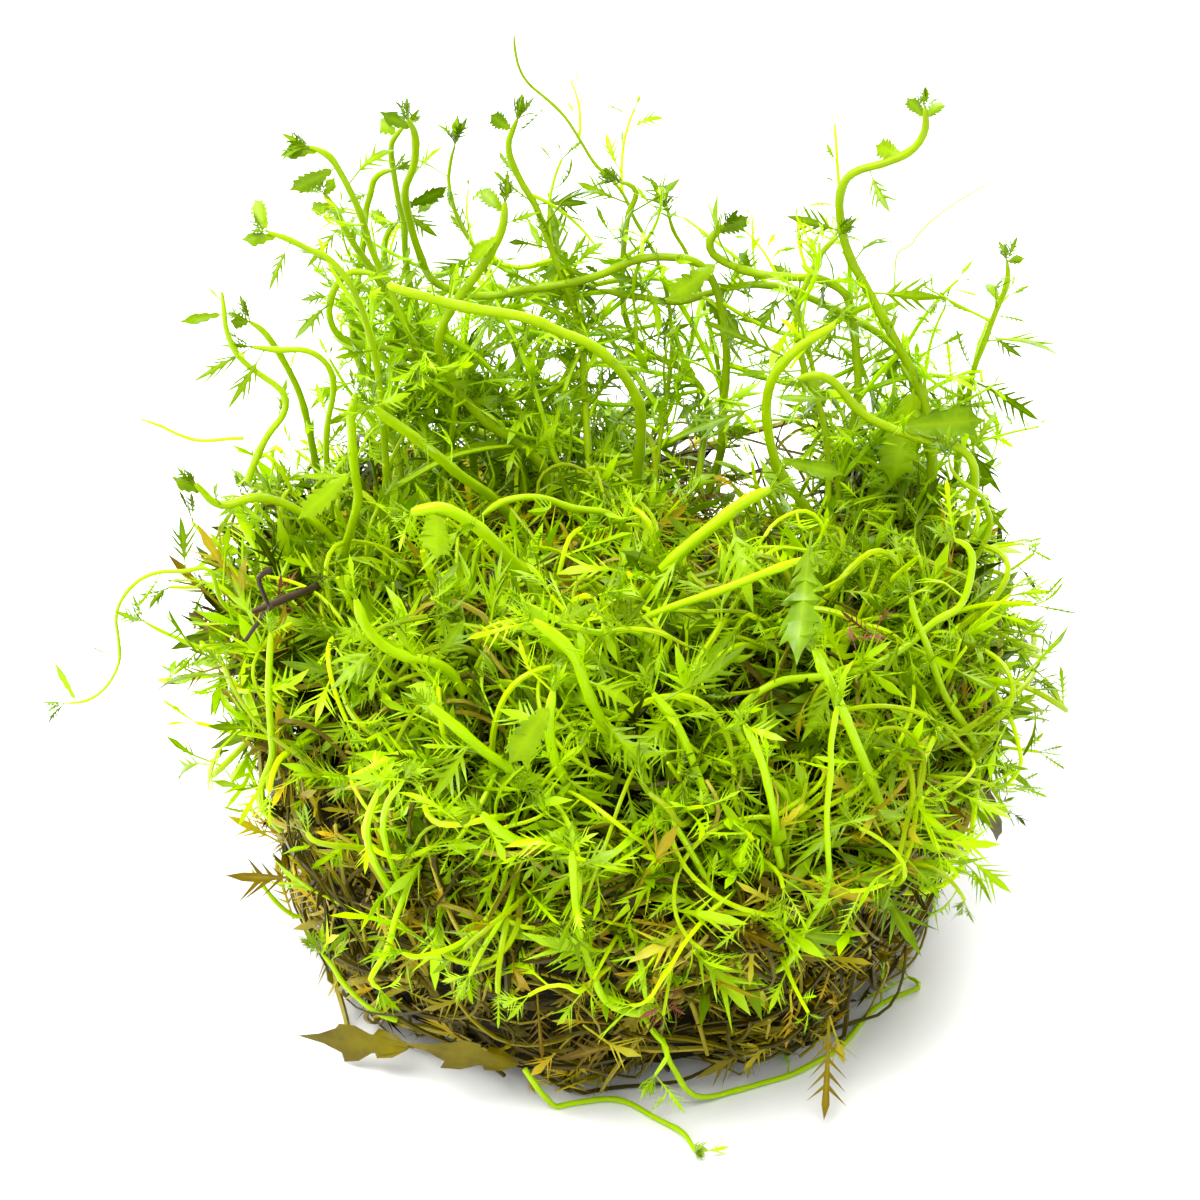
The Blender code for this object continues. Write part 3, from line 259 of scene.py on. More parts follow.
# Roots and dead stems of the mat. Heights are over the skin, at both ends and of the bow between them
STRAND_COUNT = 900
STRAND_DEPTH = 1.5
STRAND_LENGTHS = (7, 26)
STRAND_HEIGHTS = ((-1.8, 0.4), (-1.8, 1.0), (-0.5, 1.0))
STRAND_RADII = (0.14, 0.42)
STRAND_TAPER = 0.6
STRAND_TURNING = 0.12
STRAND_STEP = 1.6
STRAND_DARKNESS = 1.5

# Colours, and the sizes of blotches, veins and the core's crumbs
OLD_COLOURS = ("#201A00", "#403600", "#625600", "#847800", "#A09600", "#BA9600", "#D2C600")
# The core's nearly black colours are painted shade, deep in the gaps between the leaves
CORE_SHADE_COLOURS = ("#0C0A00", "#1C1800", "#363000")
ROOT_COLOURS = ("#3C3400", "#625800", "#8E8208", "#B8AA3C")
BLOTCH_SIZE = 4.0
VEIN_SPACING = 0.7
VEIN_DEPTH = 0.04
CORE_GRAIN = 2.4
CORE_CRUMB = 0.6
SHARP_ANGLE = math.radians(55)


def height_limit(place_x, place_y):
    """Give how high the loose mass may reach at a place in plan, so that the gap stays open."""
    sight = AIM.z + (GAP_FOOT - math.sin(EYE_ELEVATION) * place_y) / math.cos(EYE_ELEVATION)
    beside = np.abs((place_x - GAP_MIDDLE) / GAP_HALF)
    shoulder = sight + GAP_SHOULDER * beside ** 4
    return np.where((beside < GAP_EDGE) & (place_y > GAP_START), shoulder, NO_LIMIT)


def rim_height(angle):
    """Give the height of the mat's rim at an angle, blended between the eight set heights."""
    turn = (angle / (math.pi / 4)) % 8
    lower = int(turn)
    blend = (1 - math.cos(math.pi * (turn - lower))) / 2
    return RIM_HEIGHTS[lower % 8] * (1 - blend) + RIM_HEIGHTS[(lower + 1) % 8] * blend


def outline_radius(angle, height):
    """Give the mat's radius in plan: it widens upwards as its cup did, with lumps."""
    widening = min(height / RIM_HEIGHTS[1], 1.0)
    radius = MAT_FOOT_RADIUS + (MAT_RIM_RADIUS - MAT_FOOT_RADIUS) * widening
    lumps = 0.0
    for around, upwards in WALL_LUMPS:
        spot = Vector((math.cos(angle) * around, math.sin(angle) * around, height * upwards))
        lumps += WALL_LUMP_SHARE * noise.noise(spot)
    return radius + MAT_LUMP * lumps


def unit(vectors):
    """Scale rows to length one."""
    return vectors / (np.sqrt((vectors ** 2).sum(axis=-1, keepdims=True)) + 1e-12)


# Sizes in a leaf 1 long. The lobes' reach follows an arc along the leaf, and lobes differ in reach,
# lean and lift. A fine lobe narrows at its waist, which is a share of the way to its tip.
LEAF_THICK = 0.02
STALK_HALF = 0.016
BLADE_FOOT = 0.25
BLADE_EASE = 1.3
LOBE_LEAST = 0.6
LOBE_ARC = (0.2, 0.65)
LOBE_REACHES = (0.7, 1.15)
LOBE_LEANS = (0.75, 1.3)
LOBE_LIFT = 0.035
WAIST, WAIST_FAT, WAIST_THICK, WAIST_LIFT = 0.45, 0.26, 0.55, 0.4
END_WIDEST, END_HALF = 0.6, 0.16

# How far each part of a leaf is from its midrib, at 0, to a lobe's tip, at 1: its veins follow that
STALK_SIDE, END_RIDGE, LOBE_RIDGE, LOBE_FOOT, LOBE_SIDE = 0.3, 0.2, 0.45, 0.6, 0.9


def leaf_model(rng, form, fine=False):
    """Model one leaf, 1 long and lying along +Y: a thin blade that widens from its stalk, with lobes.

    A form is: pairs of lobes, half width of the blade, reach of the lobes beyond it, share of the
    lobes' spacing that their bases take, forward lean of the lobes, share of the length that is
    stalk, and share that is the end lobe.
    """
    pairs, half, reach, base, lean, stalk, end = form
    points, faces, edges = [], [], []

    def put(x, y, z, edge):
        points.append((x, y, z))
        edges.append(edge)
        return len(points) - 1

    def cover(corners, right, over):
        """Add the fan of a surface patch whose corners turn left on the right half's upper side."""
        ordered = corners if right == over else corners[::-1]
        faces.extend((ordered[0], ordered[i], ordered[i + 1]) for i in range(1, len(ordered) - 1))

    def blade_half(y):
        share = min(max((y - stalk) / (1 - stalk), 0.0), 1.0)
        widening = BLADE_FOOT + (1 - BLADE_FOOT) * math.sin(math.pi * share ** BLADE_EASE)
        return max(half * widening, STALK_HALF)

    foot, neck = ([put(-STALK_HALF, y, 0, STALK_SIDE), put(0, y, STALK_HALF, 0),
                   put(STALK_HALF, y, 0, STALK_SIDE), put(0, y, -STALK_HALF, 0)] for y in (0, stalk))
    faces += [(foot[0], foot[2], foot[1]), (foot[0], foot[3], foot[2])]
    for i in range(4):
        j = (i + 1) % 4
        faces += [(foot[i], foot[j], neck[j]), (foot[i], neck[j], neck[i])]
    spacing = (1 - end - stalk) / pairs
    low_mid = (neck[1], neck[3])
    low_rail = {False: neck[0], True: neck[2]}
    for i in range(pairs):
        centre = stalk + spacing * (i + 0.5)
        mid = (put(0, centre, LEAF_THICK, 0), put(0, centre, -LEAF_THICK, 0))
        arc = math.sin(math.pi * (LOBE_ARC[0] + LOBE_ARC[1] * (i + 0.5) / pairs))
        grown = LOBE_LEAST + (1 - LOBE_LEAST) * arc
        for right in (False, True):
            sign = 1 if right else -1
            start, stop = centre - spacing * base / 2, centre + spacing * base / 2
            first = put(sign * blade_half(start), start, 0, LOBE_FOOT)
            last = put(sign * blade_half(stop), stop, 0, LOBE_FOOT)
            out = reach * grown * rng.uniform(*LOBE_REACHES)
            tip_x, tip_y = blade_half(centre) + out, centre + out * lean * rng.uniform(*LOBE_LEANS)
            lift = rng.normal(0, LOBE_LIFT)
            tip = put(sign * tip_x, tip_y, lift, 1)
            outline = [first, tip, last]
            if fine:
                x = WAIST * tip_x + (1 - WAIST) * blade_half(centre)
                y = WAIST * tip_y + (1 - WAIST) * centre
                fat, rise, thick = spacing * base * WAIST_FAT, lift * WAIST_LIFT, LEAF_THICK * WAIST_THICK
                outline = [first, put(sign * (x + 0.5 * fat), y - fat, rise, LOBE_SIDE), tip,
                           put(sign * (x - 0.5 * fat), y + fat, rise, LOBE_SIDE), last]
                ridge = (put(sign * x, y, thick + rise, LOBE_RIDGE),
                         put(sign * x, y, rise - thick, LOBE_RIDGE))
            for over, side in ((True, 0), (False, 1)):
                cover([low_mid[side], low_rail[right], first, mid[side]], right, over)
                if fine:
                    cover([mid[side], first, ridge[side]], right, over)
                    cover([mid[side], ridge[side], last], right, over)
                cover([ridge[side] if fine else mid[side]] + outline, right, over)
            low_rail[right] = last
        low_mid = mid
    wide = 1 - END_WIDEST * end
    swell = max(0.5 * blade_half(wide), END_HALF * end)
    top = [put(0, wide, height, END_RIDGE) for height in (LEAF_THICK * END_WIDEST, -LEAF_THICK * END_WIDEST)]
    peak = put(0, 1, 0, 1)
    for right in (False, True):
        side = put(swell if right else -swell, wide, 0, LOBE_SIDE)
        for over, face in ((True, 0), (False, 1)):
            cover([low_mid[face], low_rail[right], side, top[face]], right, over)
            cover([top[face], side, peak], right, over)
    return np.array(points), np.array(faces), np.array(edges)


# How leaves are folded along the midrib, twisted and curled
FOLDS = (-0.1, 0.55)
TWISTS = (-0.7, 0.7)
LEAST_CURL = 0.05


def bend_leaf(points, fold, curl, twist):
    """Fold a leaf along its midrib, curl it along its length and twist it."""
    x, y, z = points[:, 0], points[:, 1], points[:, 2] + fold * abs(points[:, 0])
    turn = twist * y
    x, z = x * np.cos(turn) - z * np.sin(turn), x * np.sin(turn) + z * np.cos(turn)
    angle = curl * y
    bent_y = np.sin(angle) / curl - z * np.sin(angle)
    bent_z = (1 - np.cos(angle)) / curl + z * np.cos(angle)
    return np.stack((x, bent_y, bent_z), axis=1)


def leaf_variants(rng, form, count, curls=(-1.4, 1.4), fine=False):
    """Make several bent leaves of one form."""
    made = []
    for _ in range(count):
        points, faces, edges = leaf_model(rng, form, fine)
        curl = rng.uniform(*curls)
        curl = curl if abs(curl) > LEAST_CURL else LEAST_CURL
        bent = bend_leaf(points, rng.uniform(*FOLDS), curl, rng.uniform(*TWISTS))
        made.append({"points": bent, "faces": faces, "edge": edges, "along": points[:, 1].clip(0, 1),
                     "stem": np.zeros(len(points))})
    return made


def scatter(rng, variants, places, forwards, normals, sizes, tints):
    """Join a copy of a variant at each place, laid along its forward direction, facing its normal.

    A copy whose tip would leave the part's box or reach the floor is turned and shortened.
    """
    choice = rng.integers(0, len(variants), len(places))
    reach = np.array([variant["points"][:, 1].max() for variant in variants])[choice] * sizes
    tips = np.clip(places + reach[:, None] * unit(forwards), TIPS_LOW, TIPS_HIGH)
    sizes = sizes * np.minimum(np.sqrt(((tips - places) ** 2).sum(axis=1)) / reach, 1.0)
    forwards = unit(tips - places)
    sides = unit(np.cross(forwards, normals))
    ups = np.cross(sides, forwards)
    parts = {"points": [], "faces": [], "edge": [], "along": [], "stem": [], "tint": []}
    start = 0
    for number, variant in enumerate(variants):
        picked = np.nonzero(choice == number)[0]
        if not len(picked):
            continue
        local = variant["points"]
        moved = (places[picked][:, None, :]
                 + sizes[picked][:, None, None] * (local[None, :, 0:1] * sides[picked][:, None, :]
                                                   + local[None, :, 1:2] * forwards[picked][:, None, :]
                                                   + local[None, :, 2:3] * ups[picked][:, None, :]))
        count = len(local)
        offsets = start + count * np.arange(len(picked))
        parts["points"].append(moved.reshape(-1, 3))
        parts["faces"].append((variant["faces"][None] + offsets[:, None, None]).reshape(-1, 3))
        for key in ("edge", "along", "stem"):
            parts[key].append(np.tile(variant[key], len(picked)))
        own = variant.get("tint", np.zeros(count))
        parts["tint"].append((own[None, :] + tints[picked][:, None]).ravel())
        start += count * len(picked)
    return {key: np.concatenate(value) for key, value in parts.items()}


# A direction that no tube starts along, and how far a tube's ends point out, in radii
SLANT = (0.3, -0.8, 0.5)
TUBE_END = 0.5


def tube(places, radii, sides, tint=0.5):
    """Model a closed tube along places, with a point at each end."""
    places = np.asarray(places, float)
    count = len(places)
    tangents = unit(np.gradient(places, axis=0))
    side = np.cross(tangents[0], SLANT)
    points = []
    turns = 2 * np.pi * np.arange(sides) / sides
    for index in range(count):
        side = side - side.dot(tangents[index]) * tangents[index]
        side = side / (np.sqrt(side.dot(side)) + 1e-12)
        other = np.cross(tangents[index], side)
        points.append(places[index] + radii[index] * (np.cos(turns)[:, None] * side
                                                      + np.sin(turns)[:, None] * other))
    points = np.concatenate(points + [places[:1] - tangents[:1] * radii[0] * TUBE_END,
                                      places[-1:] + tangents[-1:] * radii[-1] * TUBE_END])
    ring = np.arange(sides)
    after = (ring + 1) % sides
    faces = []
    for index in range(count - 1):
        low, high = index * sides, (index + 1) * sides
        faces.append(np.stack((low + ring, low + after, high + after), axis=1))
        faces.append(np.stack((low + ring, high + after, high + ring), axis=1))
    faces.append(np.stack((after, ring, np.full(sides, count * sides)), axis=1))
    last = (count - 1) * sides
    faces.append(np.stack((last + ring, last + after, np.full(sides, count * sides + 1)), axis=1))
    along = np.append(np.repeat(np.linspace(0, 1, count), sides), (0, 1))
    total = len(points)
    return {"points": points, "faces": np.concatenate(faces), "edge": np.zeros(total), "along": along,
            "stem": np.ones(total), "tint": np.full(total, float(tint))}


def join(parts):
    """Join several lots of points and faces into one."""
    start = 0
    joined = {key: [] for key in parts[0]}
    for part in parts:
        for key, values in joined.items():
            values.append(part[key] + start if key == "faces" else part[key])
        start += len(part["points"])
    return {key: np.concatenate(values) for key, values in joined.items()}


def mesh_piece(name, part, finish):
    """Make an object of a joined part, in metres, with its attributes and material."""
    points = part["points"] * MM
    spare = OVERHANG * (np.array(cad_high) - np.array(cad_low))
    points = np.clip(points, np.array(cad_low) - spare, np.array(cad_high) + spare)
    points[:, 2] = np.maximum(points[:, 2], LOWEST * MM)
    mesh = bpy.data.meshes.new(name)
    mesh.vertices.add(len(points))
    mesh.vertices.foreach_set("co", points.ravel())
    count = len(part["faces"])
    mesh.loops.add(3 * count)
    mesh.loops.foreach_set("vertex_index", part["faces"].astype(np.int32).ravel())
    mesh.polygons.add(count)
    mesh.polygons.foreach_set("loop_start", np.arange(0, 3 * count, 3, dtype=np.int32))
    mesh.update(calc_edges=True)
    for key in ("tint", "along", "edge", "stem"):
        layer = mesh.attributes.new(key, "FLOAT", "POINT")
        layer.data.foreach_set("value", part[key].astype(np.float32))
    mesh.shade_smooth()
    mesh.set_sharp_from_angle(angle=SHARP_ANGLE)
    piece = bpy.data.objects.new(name, mesh)
    bpy.context.scene.collection.objects.link(piece)
    mesh.materials.append(finish)
    return piece


def plant_tissue(name, ramps, glow, gloss):
    """Living or dead leaf tissue: thin, so that light comes through, under a moist skin.

    The tint picks the colour, from the first ramp on leaves and from the second on stems, and is
    shifted by blotches. Midribs and leaf bases are paler, and fine veins catch the light.
    """
    made, tree = new_material(name)
    place = add_node(tree, "ShaderNodeTexCoord").outputs["Object"]
    tint, edge, along, stem = (add_node(tree, "ShaderNodeAttribute", {"attribute_name": own}).outputs["Fac"]
                               for own in ("tint", "edge", "along", "stem"))
    blotch = add_node(tree, "ShaderNodeTexNoise",
                      {"Scale": 1 / (BLOTCH_SIZE * MM), "Detail": 3.0, "Roughness": 0.6}, {"Vector": place})
    shift = add_node(tree, "ShaderNodeMath", {"operation": "MULTIPLY_ADD", 1: 0.5, 2: -0.25},
                     {0: blotch.outputs["Fac"]})
    shade = add_node(tree, "ShaderNodeMath", {"operation": "ADD", "use_clamp": True},
                     {0: tint, 1: shift.outputs[0]}).outputs[0]
    leaf, stalk = (add_node(tree, "ShaderNodeValToRGB", {"stops": colours}, {"Fac": shade}).outputs["Color"]
                   for colours in ramps)
    rib = add_node(tree, "ShaderNodeMapRange", {"From Max": 0.35, "To Min": 0.55, "To Max": 0.0},
                   {"Value": edge})
    foot = add_node(tree, "ShaderNodeMapRange", {"From Max": 0.45, "To Min": 0.6, "To Max": 0.0},
                    {"Value": along})
    pale = add_node(tree, "ShaderNodeMath", {"operation": "MAXIMUM"},
                    {0: rib.outputs["Result"], 1: foot.outputs["Result"]})
    leaf = add_node(tree, "ShaderNodeMix", {"data_type": "RGBA"},
                    {"Factor": pale.outputs[0], 6: leaf, 7: stalk})
    colour = add_node(tree, "ShaderNodeMix", {"data_type": "RGBA"},
                      {"Factor": stem, 6: leaf.outputs[2], 7: stalk}).outputs[2]
    veins = add_node(tree, "ShaderNodeTexNoise", {"Scale": 1 / (VEIN_SPACING * MM), "Detail": 2.0},
                     {"Vector": place})
    bump = add_node(tree, "ShaderNodeBump", {"Strength": 0.6, "Distance": VEIN_DEPTH * MM},
                    {"Height": veins.outputs["Fac"]})
    skin = add_node(tree, "ShaderNodeBsdfPrincipled",
                    {"Roughness": gloss, "IOR": 1.42, "Specular IOR Level": 0.15,
                     "Coat Weight": 0.3, "Coat Roughness": 0.1, "Coat IOR": 1.33},
                    {"Base Color": colour, "Normal": bump.outputs["Normal"]})
    through = add_node(tree, "ShaderNodeBsdfTranslucent", {}, {"Color": colour})
    mixed = add_node(tree, "ShaderNodeMixShader", {"Fac": glow}, {1: skin.outputs[0], 2: through.outputs[0]})
    add_node(tree, "ShaderNodeOutputMaterial", {}, {"Surface": mixed.outputs[0]})
    return made


def shade_tissue(name, colours, grain, roughness, crumb):
    """Nearly black, dull tissue that is painted shade deep under the leaves, crumbly where the leaves over
    it part.
    """
    made, tree = new_material(name)
    place = add_node(tree, "ShaderNodeTexCoord").outputs["Object"]
    lumps = add_node(tree, "ShaderNodeTexNoise",
                     {"Scale": 1 / (grain * MM), "Detail": 6.0, "Roughness": 0.7},
                     {"Vector": place}).outputs["Fac"]
    colour = add_node(tree, "ShaderNodeValToRGB", {"stops": colours}, {"Fac": lumps})
    links = {"Base Color": colour.outputs["Color"]}
    if crumb:
        bump = add_node(tree, "ShaderNodeBump", {"Strength": 1.0, "Distance": crumb * MM}, {"Height": lumps})
        links["Normal"] = bump.outputs["Normal"]
    shader = add_node(tree, "ShaderNodeBsdfPrincipled",
                      {"Roughness": roughness, "IOR": 1.4, "Specular IOR Level": 0.15}, links)
    add_node(tree, "ShaderNodeOutputMaterial", {}, {"Surface": shader.outputs["BSDF"]})
    return made


def growth_height(x, y):
    """Give the height of the young growth over a place in plan."""
    reach = (x / GROWTH_REACH) ** 2 + ((y + GROWTH_FORWARD) / GROWTH_REACH) ** 2
    height = GROWTH_TOP - GROWTH_FALL * reach
    for bump_x, bump_y, rise, radius in HUMMOCKS:
        apart = ((x - bump_x) ** 2 + (y - bump_y) ** 2) / radius ** 2
        height += rise * math.exp(-apart)
    return height


def closed_rings(rings, bottom, top):
    """Join rings of points, lowest first, into one closed mesh with a point at each end."""
    count = len(rings[0])
    points = [point for ring in rings for point in ring] + [bottom, top]
    low, high = len(points) - 2, len(points) - 1
    faces = []
    for index in range(len(rings) - 1):
        for side in range(count):
            after = (side + 1) % count
            faces.append((index * count + side, index * count + after,
                          (index + 1) * count + after, (index + 1) * count + side))
    last = (len(rings) - 1) * count
    for side in range(count):
        after = (side + 1) % count
        faces.append((after, side, low))
        faces.append((last + side, last + after, high))
    return points, faces


def ring_of(radius_at, height_at):
    """Give a ring of points round the mat, from its radius at an angle and its height at both."""
    ring = []
    for step in range(MAT_SECTORS):
        angle = 2 * math.pi * step / MAT_SECTORS
        radius = radius_at(angle)
        ring.append(Vector((radius * math.cos(angle), radius * math.sin(angle), height_at(angle, radius))))
    return ring


def growth_ring_height(angle, radius):
    """Give the young growth's height on one of its rings, the outermost of which meets the rim."""
    height = growth_height(radius * math.cos(angle), radius * math.sin(angle))
    if radius > GROWTH_RINGS[1] * GROWTH_EDGE:
        height = 0.5 * height + 0.5 * (rim_height(angle) + GROWTH_OVER_RIM)
    return height


def rows(places):
    """Give places as the rows of an array."""
    return np.array([tuple(place) for place in places])


def skin_triangles(rings):
    """Give the triangles of a closed skin of rings."""
    points, faces = closed_rings(rings, SKIN_LOW, SKIN_HIGH)
    triangles = []
    for face in faces:
        triangles += [(face[0], face[i], face[i + 1]) for i in range(1, len(face) - 1)]
    return rows(points)[np.array(triangles)]


def spots_on(rng, triangles, count, wanted):
    """Pick random places on triangles, with their normals, where a wanted share says so.

    Places above the gap are put down on its floor, which slopes along the sight line.
    """
    crosses = np.cross(triangles[:, 1] - triangles[:, 0], triangles[:, 2] - triangles[:, 0])
    areas = np.sqrt((crosses ** 2).sum(axis=1)) / 2
    picked = rng.choice(len(triangles), 4 * count, p=areas / areas.sum())
    first, second = rng.random((2, 4 * count))
    flip = first + second > 1
    first[flip], second[flip] = 1 - first[flip], 1 - second[flip]
    chosen = triangles[picked]
    places = (chosen[:, 0] + first[:, None] * (chosen[:, 1] - chosen[:, 0])
              + second[:, None] * (chosen[:, 2] - chosen[:, 0]))
    normals = unit(crosses[picked])
    kept = np.nonzero(rng.random(4 * count) < wanted(places, normals))[0][:count]
    places, normals = places[kept], normals[kept]
    limit = height_limit(places[:, 0], places[:, 1])
    above = places[:, 2] > limit
    places[above, 2] = limit[above] - GAP_SINK
    normals[above] = np.array(UPWARD)
    return places, normals


def through(value, stretch):
    """Give how far a value has come through a stretch, given as its start and length: 0 to 1."""
    start, length = stretch
    return min(max((value - start) / length, 0.0), 1.0)


def sunken_core(node, name, finish, upward, sink, roughness, lump_place):
    """Copy a CAD node, merge and cut it finer, and sink its outer skin under the loose leaves."""
    bpy.ops.object.select_all(action="DESELECT")
    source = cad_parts[node]
    source.select_set(True)
    bpy.context.view_layer.objects.active = source
    bpy.ops.object.duplicate()
    core = bpy.context.object
    core.name = name
    core.parent = None
    for key in [key for key in core.keys() if key.startswith("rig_")]:
        del core[key]
    core.data.materials.clear()
    core.data.materials.append(finish)
    bpy.ops.object.mode_set(mode="EDIT")
    bpy.ops.mesh.select_all(action="SELECT")
    bpy.ops.mesh.remove_doubles(threshold=CORE_MERGE)
    bpy.ops.mesh.subdivide(number_cuts=CORE_CUTS, smoothness=0.0)
    bpy.ops.object.mode_set(mode="OBJECT")
    mesh = core.data
    normals = [vertex.normal.copy() for vertex in mesh.vertices]
    for vertex, normal in zip(mesh.vertices, normals):
        place = vertex.co / MM
        radial = Vector((place.x, place.y, 0)).normalized()
        share = through(max(normal.dot(radial), normal.z * upward), OUTWARD)
        lump = sum(height * noise.noise(place * pitch + lump_place) for pitch, height in CORE_LUMPS)
        behind = CORE_HOLLOW * through(place.y, BEHIND) * through(place.z, BEHIND_UP)
        moved = place - normal * share * (sink - roughness * lump) - BEHIND_WAY * behind * share
        leftward = through(-place.x, LEFTWARD) * through(place.z, LEFTWARD_UP)
        moved = moved + LEFTWARD_WAY * CORE_HOLLOW * LEFTWARD_SHARE * leftward * share
        moved.z = min(moved.z, float(height_limit(moved.x, moved.y)) - CORE_SINK)
        moved.z = max(moved.z, LOWEST)
        vertex.co = moved * MM
    mesh.shade_smooth()
    return core


# Every random choice is drawn from this one generator, so each run gives the same clump
GROW = np.random.default_rng(4296)
SKIN_LOW = Vector((0, 0, 0))
SKIN_HIGH = Vector((0, 0, growth_height(0, 0)))

# Rings of the mat's underside, of its lumpy flaring wall and rim, and of the growth's hummocky top
mat_rings = [ring_of(lambda angle: share * outline_radius(angle, 0), lambda angle, radius: 0)
             for share in UNDERSIDE_RINGS]
mat_rings += [ring_of(lambda angle: outline_radius(angle, rim_height(angle) * share) - inset,
                      lambda angle, radius: rim_height(angle) * share)
              for share, inset in WALL_RINGS]
growth_rings = [ring_of(lambda angle: outline_radius(angle, rim_height(angle)) - 0.5 * RIM_WIDTH,
                        lambda angle, radius: rim_height(angle) + 3 * GAP)]
growth_rings += [ring_of(lambda angle: share * GROWTH_EDGE, growth_ring_height) for share in GROWTH_RINGS]
wall_triangles = skin_triangles(mat_rings)
body_skin = BVHTree.FromPolygons(*closed_rings(mat_rings + growth_rings, SKIN_LOW, SKIN_HIGH))

# Leaf forms: pairs of lobes, half width of the blade, reach of the lobes, share of the spacing
# that their bases take, forward lean, share that is stalk, share that is the end lobe
CUT = (3, 0.06, 0.25, 0.46, 1.15, 0.26, 0.34)
COMB = (4, 0.032, 0.2, 0.34, 0.95, 0.2, 0.26)
FORK = (2, 0.05, 0.27, 0.42, 1.35, 0.42, 0.38)

# The mat's leaves: form, number of variants, least and most curl
OLD_MIX = ((CUT, 5, (-1.2, 0.5)), (COMB, 8, (-1.4, 0.6)), (FORK, 8, (-1.2, 0.8)))


def mixed_leaves(rng, mix):
    """Make the variants of several forms."""
    return [leaf for row in mix for leaf in leaf_variants(rng, *row)]


def wall_share(places, normals):
    """Wall leaves lie all over the wall, the rim and the gap's floor, but not on the underside."""
    return np.where(normals[:, 2] > UNDERSIDE_TURN, 1.0, 0.0)


def strand_share(places, normals):
    """Strands start where wall leaves do, but not in the gap."""
    return wall_share(places, normals) * (places[:, 2] <= height_limit(places[:, 0], places[:, 1]))


# How much a layer's leaves differ, and how they crowd to its bottom
LIFTS = (0.0, 1.8)
FACING_SPREAD = 0.5
TINT_SPREAD = 0.1
CROWDING = 0.8


def layer_of_leaves(rng, variants, triangles, wanted, count, depths, lengths, tints, lift, droop):
    """Lay leaves over the skin, at a depth under it, each lifting its tip: the deeper, the darker, as
    painted shade.
    """
    places, normals = spots_on(rng, triangles, count, wanted)
    drift = unit(rng.normal(size=normals.shape))
    forwards = unit(drift - (drift * normals).sum(axis=1, keepdims=True) * normals)
    forwards = forwards + np.array((0, 0, -droop)) + lift * normals * rng.uniform(*LIFTS, (len(places), 1))
    facing = unit(normals + FACING_SPREAD * rng.normal(size=normals.shape))
    sizes = rng.uniform(*lengths, len(places))
    sunk = rng.uniform(0, 1, (len(places), 1)) ** CROWDING
    roots = places - normals * (depths[0] + (depths[1] - depths[0]) * sunk)
    shades = tints[0] + (tints[1] - tints[0]) * (1 - sunk[:, 0]) + rng.normal(0, TINT_SPREAD, len(places))
    return scatter(rng, variants, roots, forwards, facing, sizes, shades.clip(0, 1))


# How a crawling stem seeks its height and hugs the skin
CRAWL_SEEK = 0.12
CRAWL_HUG = 0.3
CRAWL_LOWEST = 0.5


def crawling_line(rng, start, heading, length, heights, turning, step):
    """Walk a stem's line over the skin: between heights above it, curling as it goes."""
    line = [Vector(start)]
    heading = Vector(heading).normalized()
    turn, change = rng.uniform(-turning, turning), rng.uniform(-turning, turning)
    count = max(4, int(length / step))
    for index in range(count):
        foot, normal, _, gap = body_skin.find_nearest(line[-1])
        above = gap if (line[-1] - foot).dot(normal) > 0 else -gap
        share = index / count
        wanted = heights[0] + (heights[1] - heights[0]) * share + heights[2] * math.sin(math.pi * share)
        heading = heading + normal * (CRAWL_SEEK * (wanted - above) - CRAWL_HUG * heading.dot(normal))
        heading = heading + normal.cross(heading) * step * (turn + change * share)
        heading.normalize()
        line.append(line[-1] + step * heading)
        line[-1].z = max(line[-1].z, CRAWL_LOWEST)
    line = rows(line)
    line[:, :2] = np.clip(line[:, :2], TIPS_LOW[:2], TIPS_HIGH[:2])
    return line


# Old leaf is olive to brown and dull, and lets a little light through. Root is tan to dark, and duller
old_leaf_finish = plant_tissue("old_leaf_tissue", (OLD_COLOURS, OLD_COLOURS[2:5]), 0.25, 0.45)
root_finish = plant_tissue("root_tissue", (ROOT_COLOURS, ROOT_COLOURS), 0.15, 0.5)
# The core under the mat's leaves is nearly black: painted shade
core_shade_finish = shade_tissue("painted_shade_core", CORE_SHADE_COLOURS, CORE_GRAIN, 0.55, CORE_CRUMB)

mat_core = sunken_core("root_mat", "matted_core", core_shade_finish, UPWARD_WEIGHT, CORE_SINK, CORE_ROUGHNESS,
                       CORE_PLACE)
old_forms = mixed_leaves(GROW, OLD_MIX)
dark_layer = layer_of_leaves(GROW, old_forms, wall_triangles, wall_share, *DARK_WALL)
bright_layer = layer_of_leaves(GROW, old_forms, wall_triangles, wall_share, *BRIGHT_WALL)
deep_shaded_leaves = mesh_piece("matted_old_leaves", dark_layer, old_leaf_finish)
olive_leaves = mesh_piece("olive_wall_leaves", bright_layer, old_leaf_finish)

strands = []
for place, normal in zip(*spots_on(GROW, wall_triangles, STRAND_COUNT, strand_share)):
    heading = unit(np.cross(normal, GROW.normal(size=3)))
    length, *heights = (GROW.uniform(*reach) for reach in (STRAND_LENGTHS, *STRAND_HEIGHTS))
    line = crawling_line(GROW, place - STRAND_DEPTH * normal, heading, length, heights,
                         STRAND_TURNING, STRAND_STEP)
    radii = GROW.uniform(*STRAND_RADII) * np.linspace(1.0, STRAND_TAPER, len(line))
    strands.append(tube(line, radii, 4, GROW.uniform(0, 1) ** STRAND_DARKNESS))
matted_strands = mesh_piece("matted_strands", join(strands), root_finish)

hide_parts("root_mat")
for piece in (mat_core, deep_shaded_leaves, olive_leaves, matted_strands):
    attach(piece, "root")


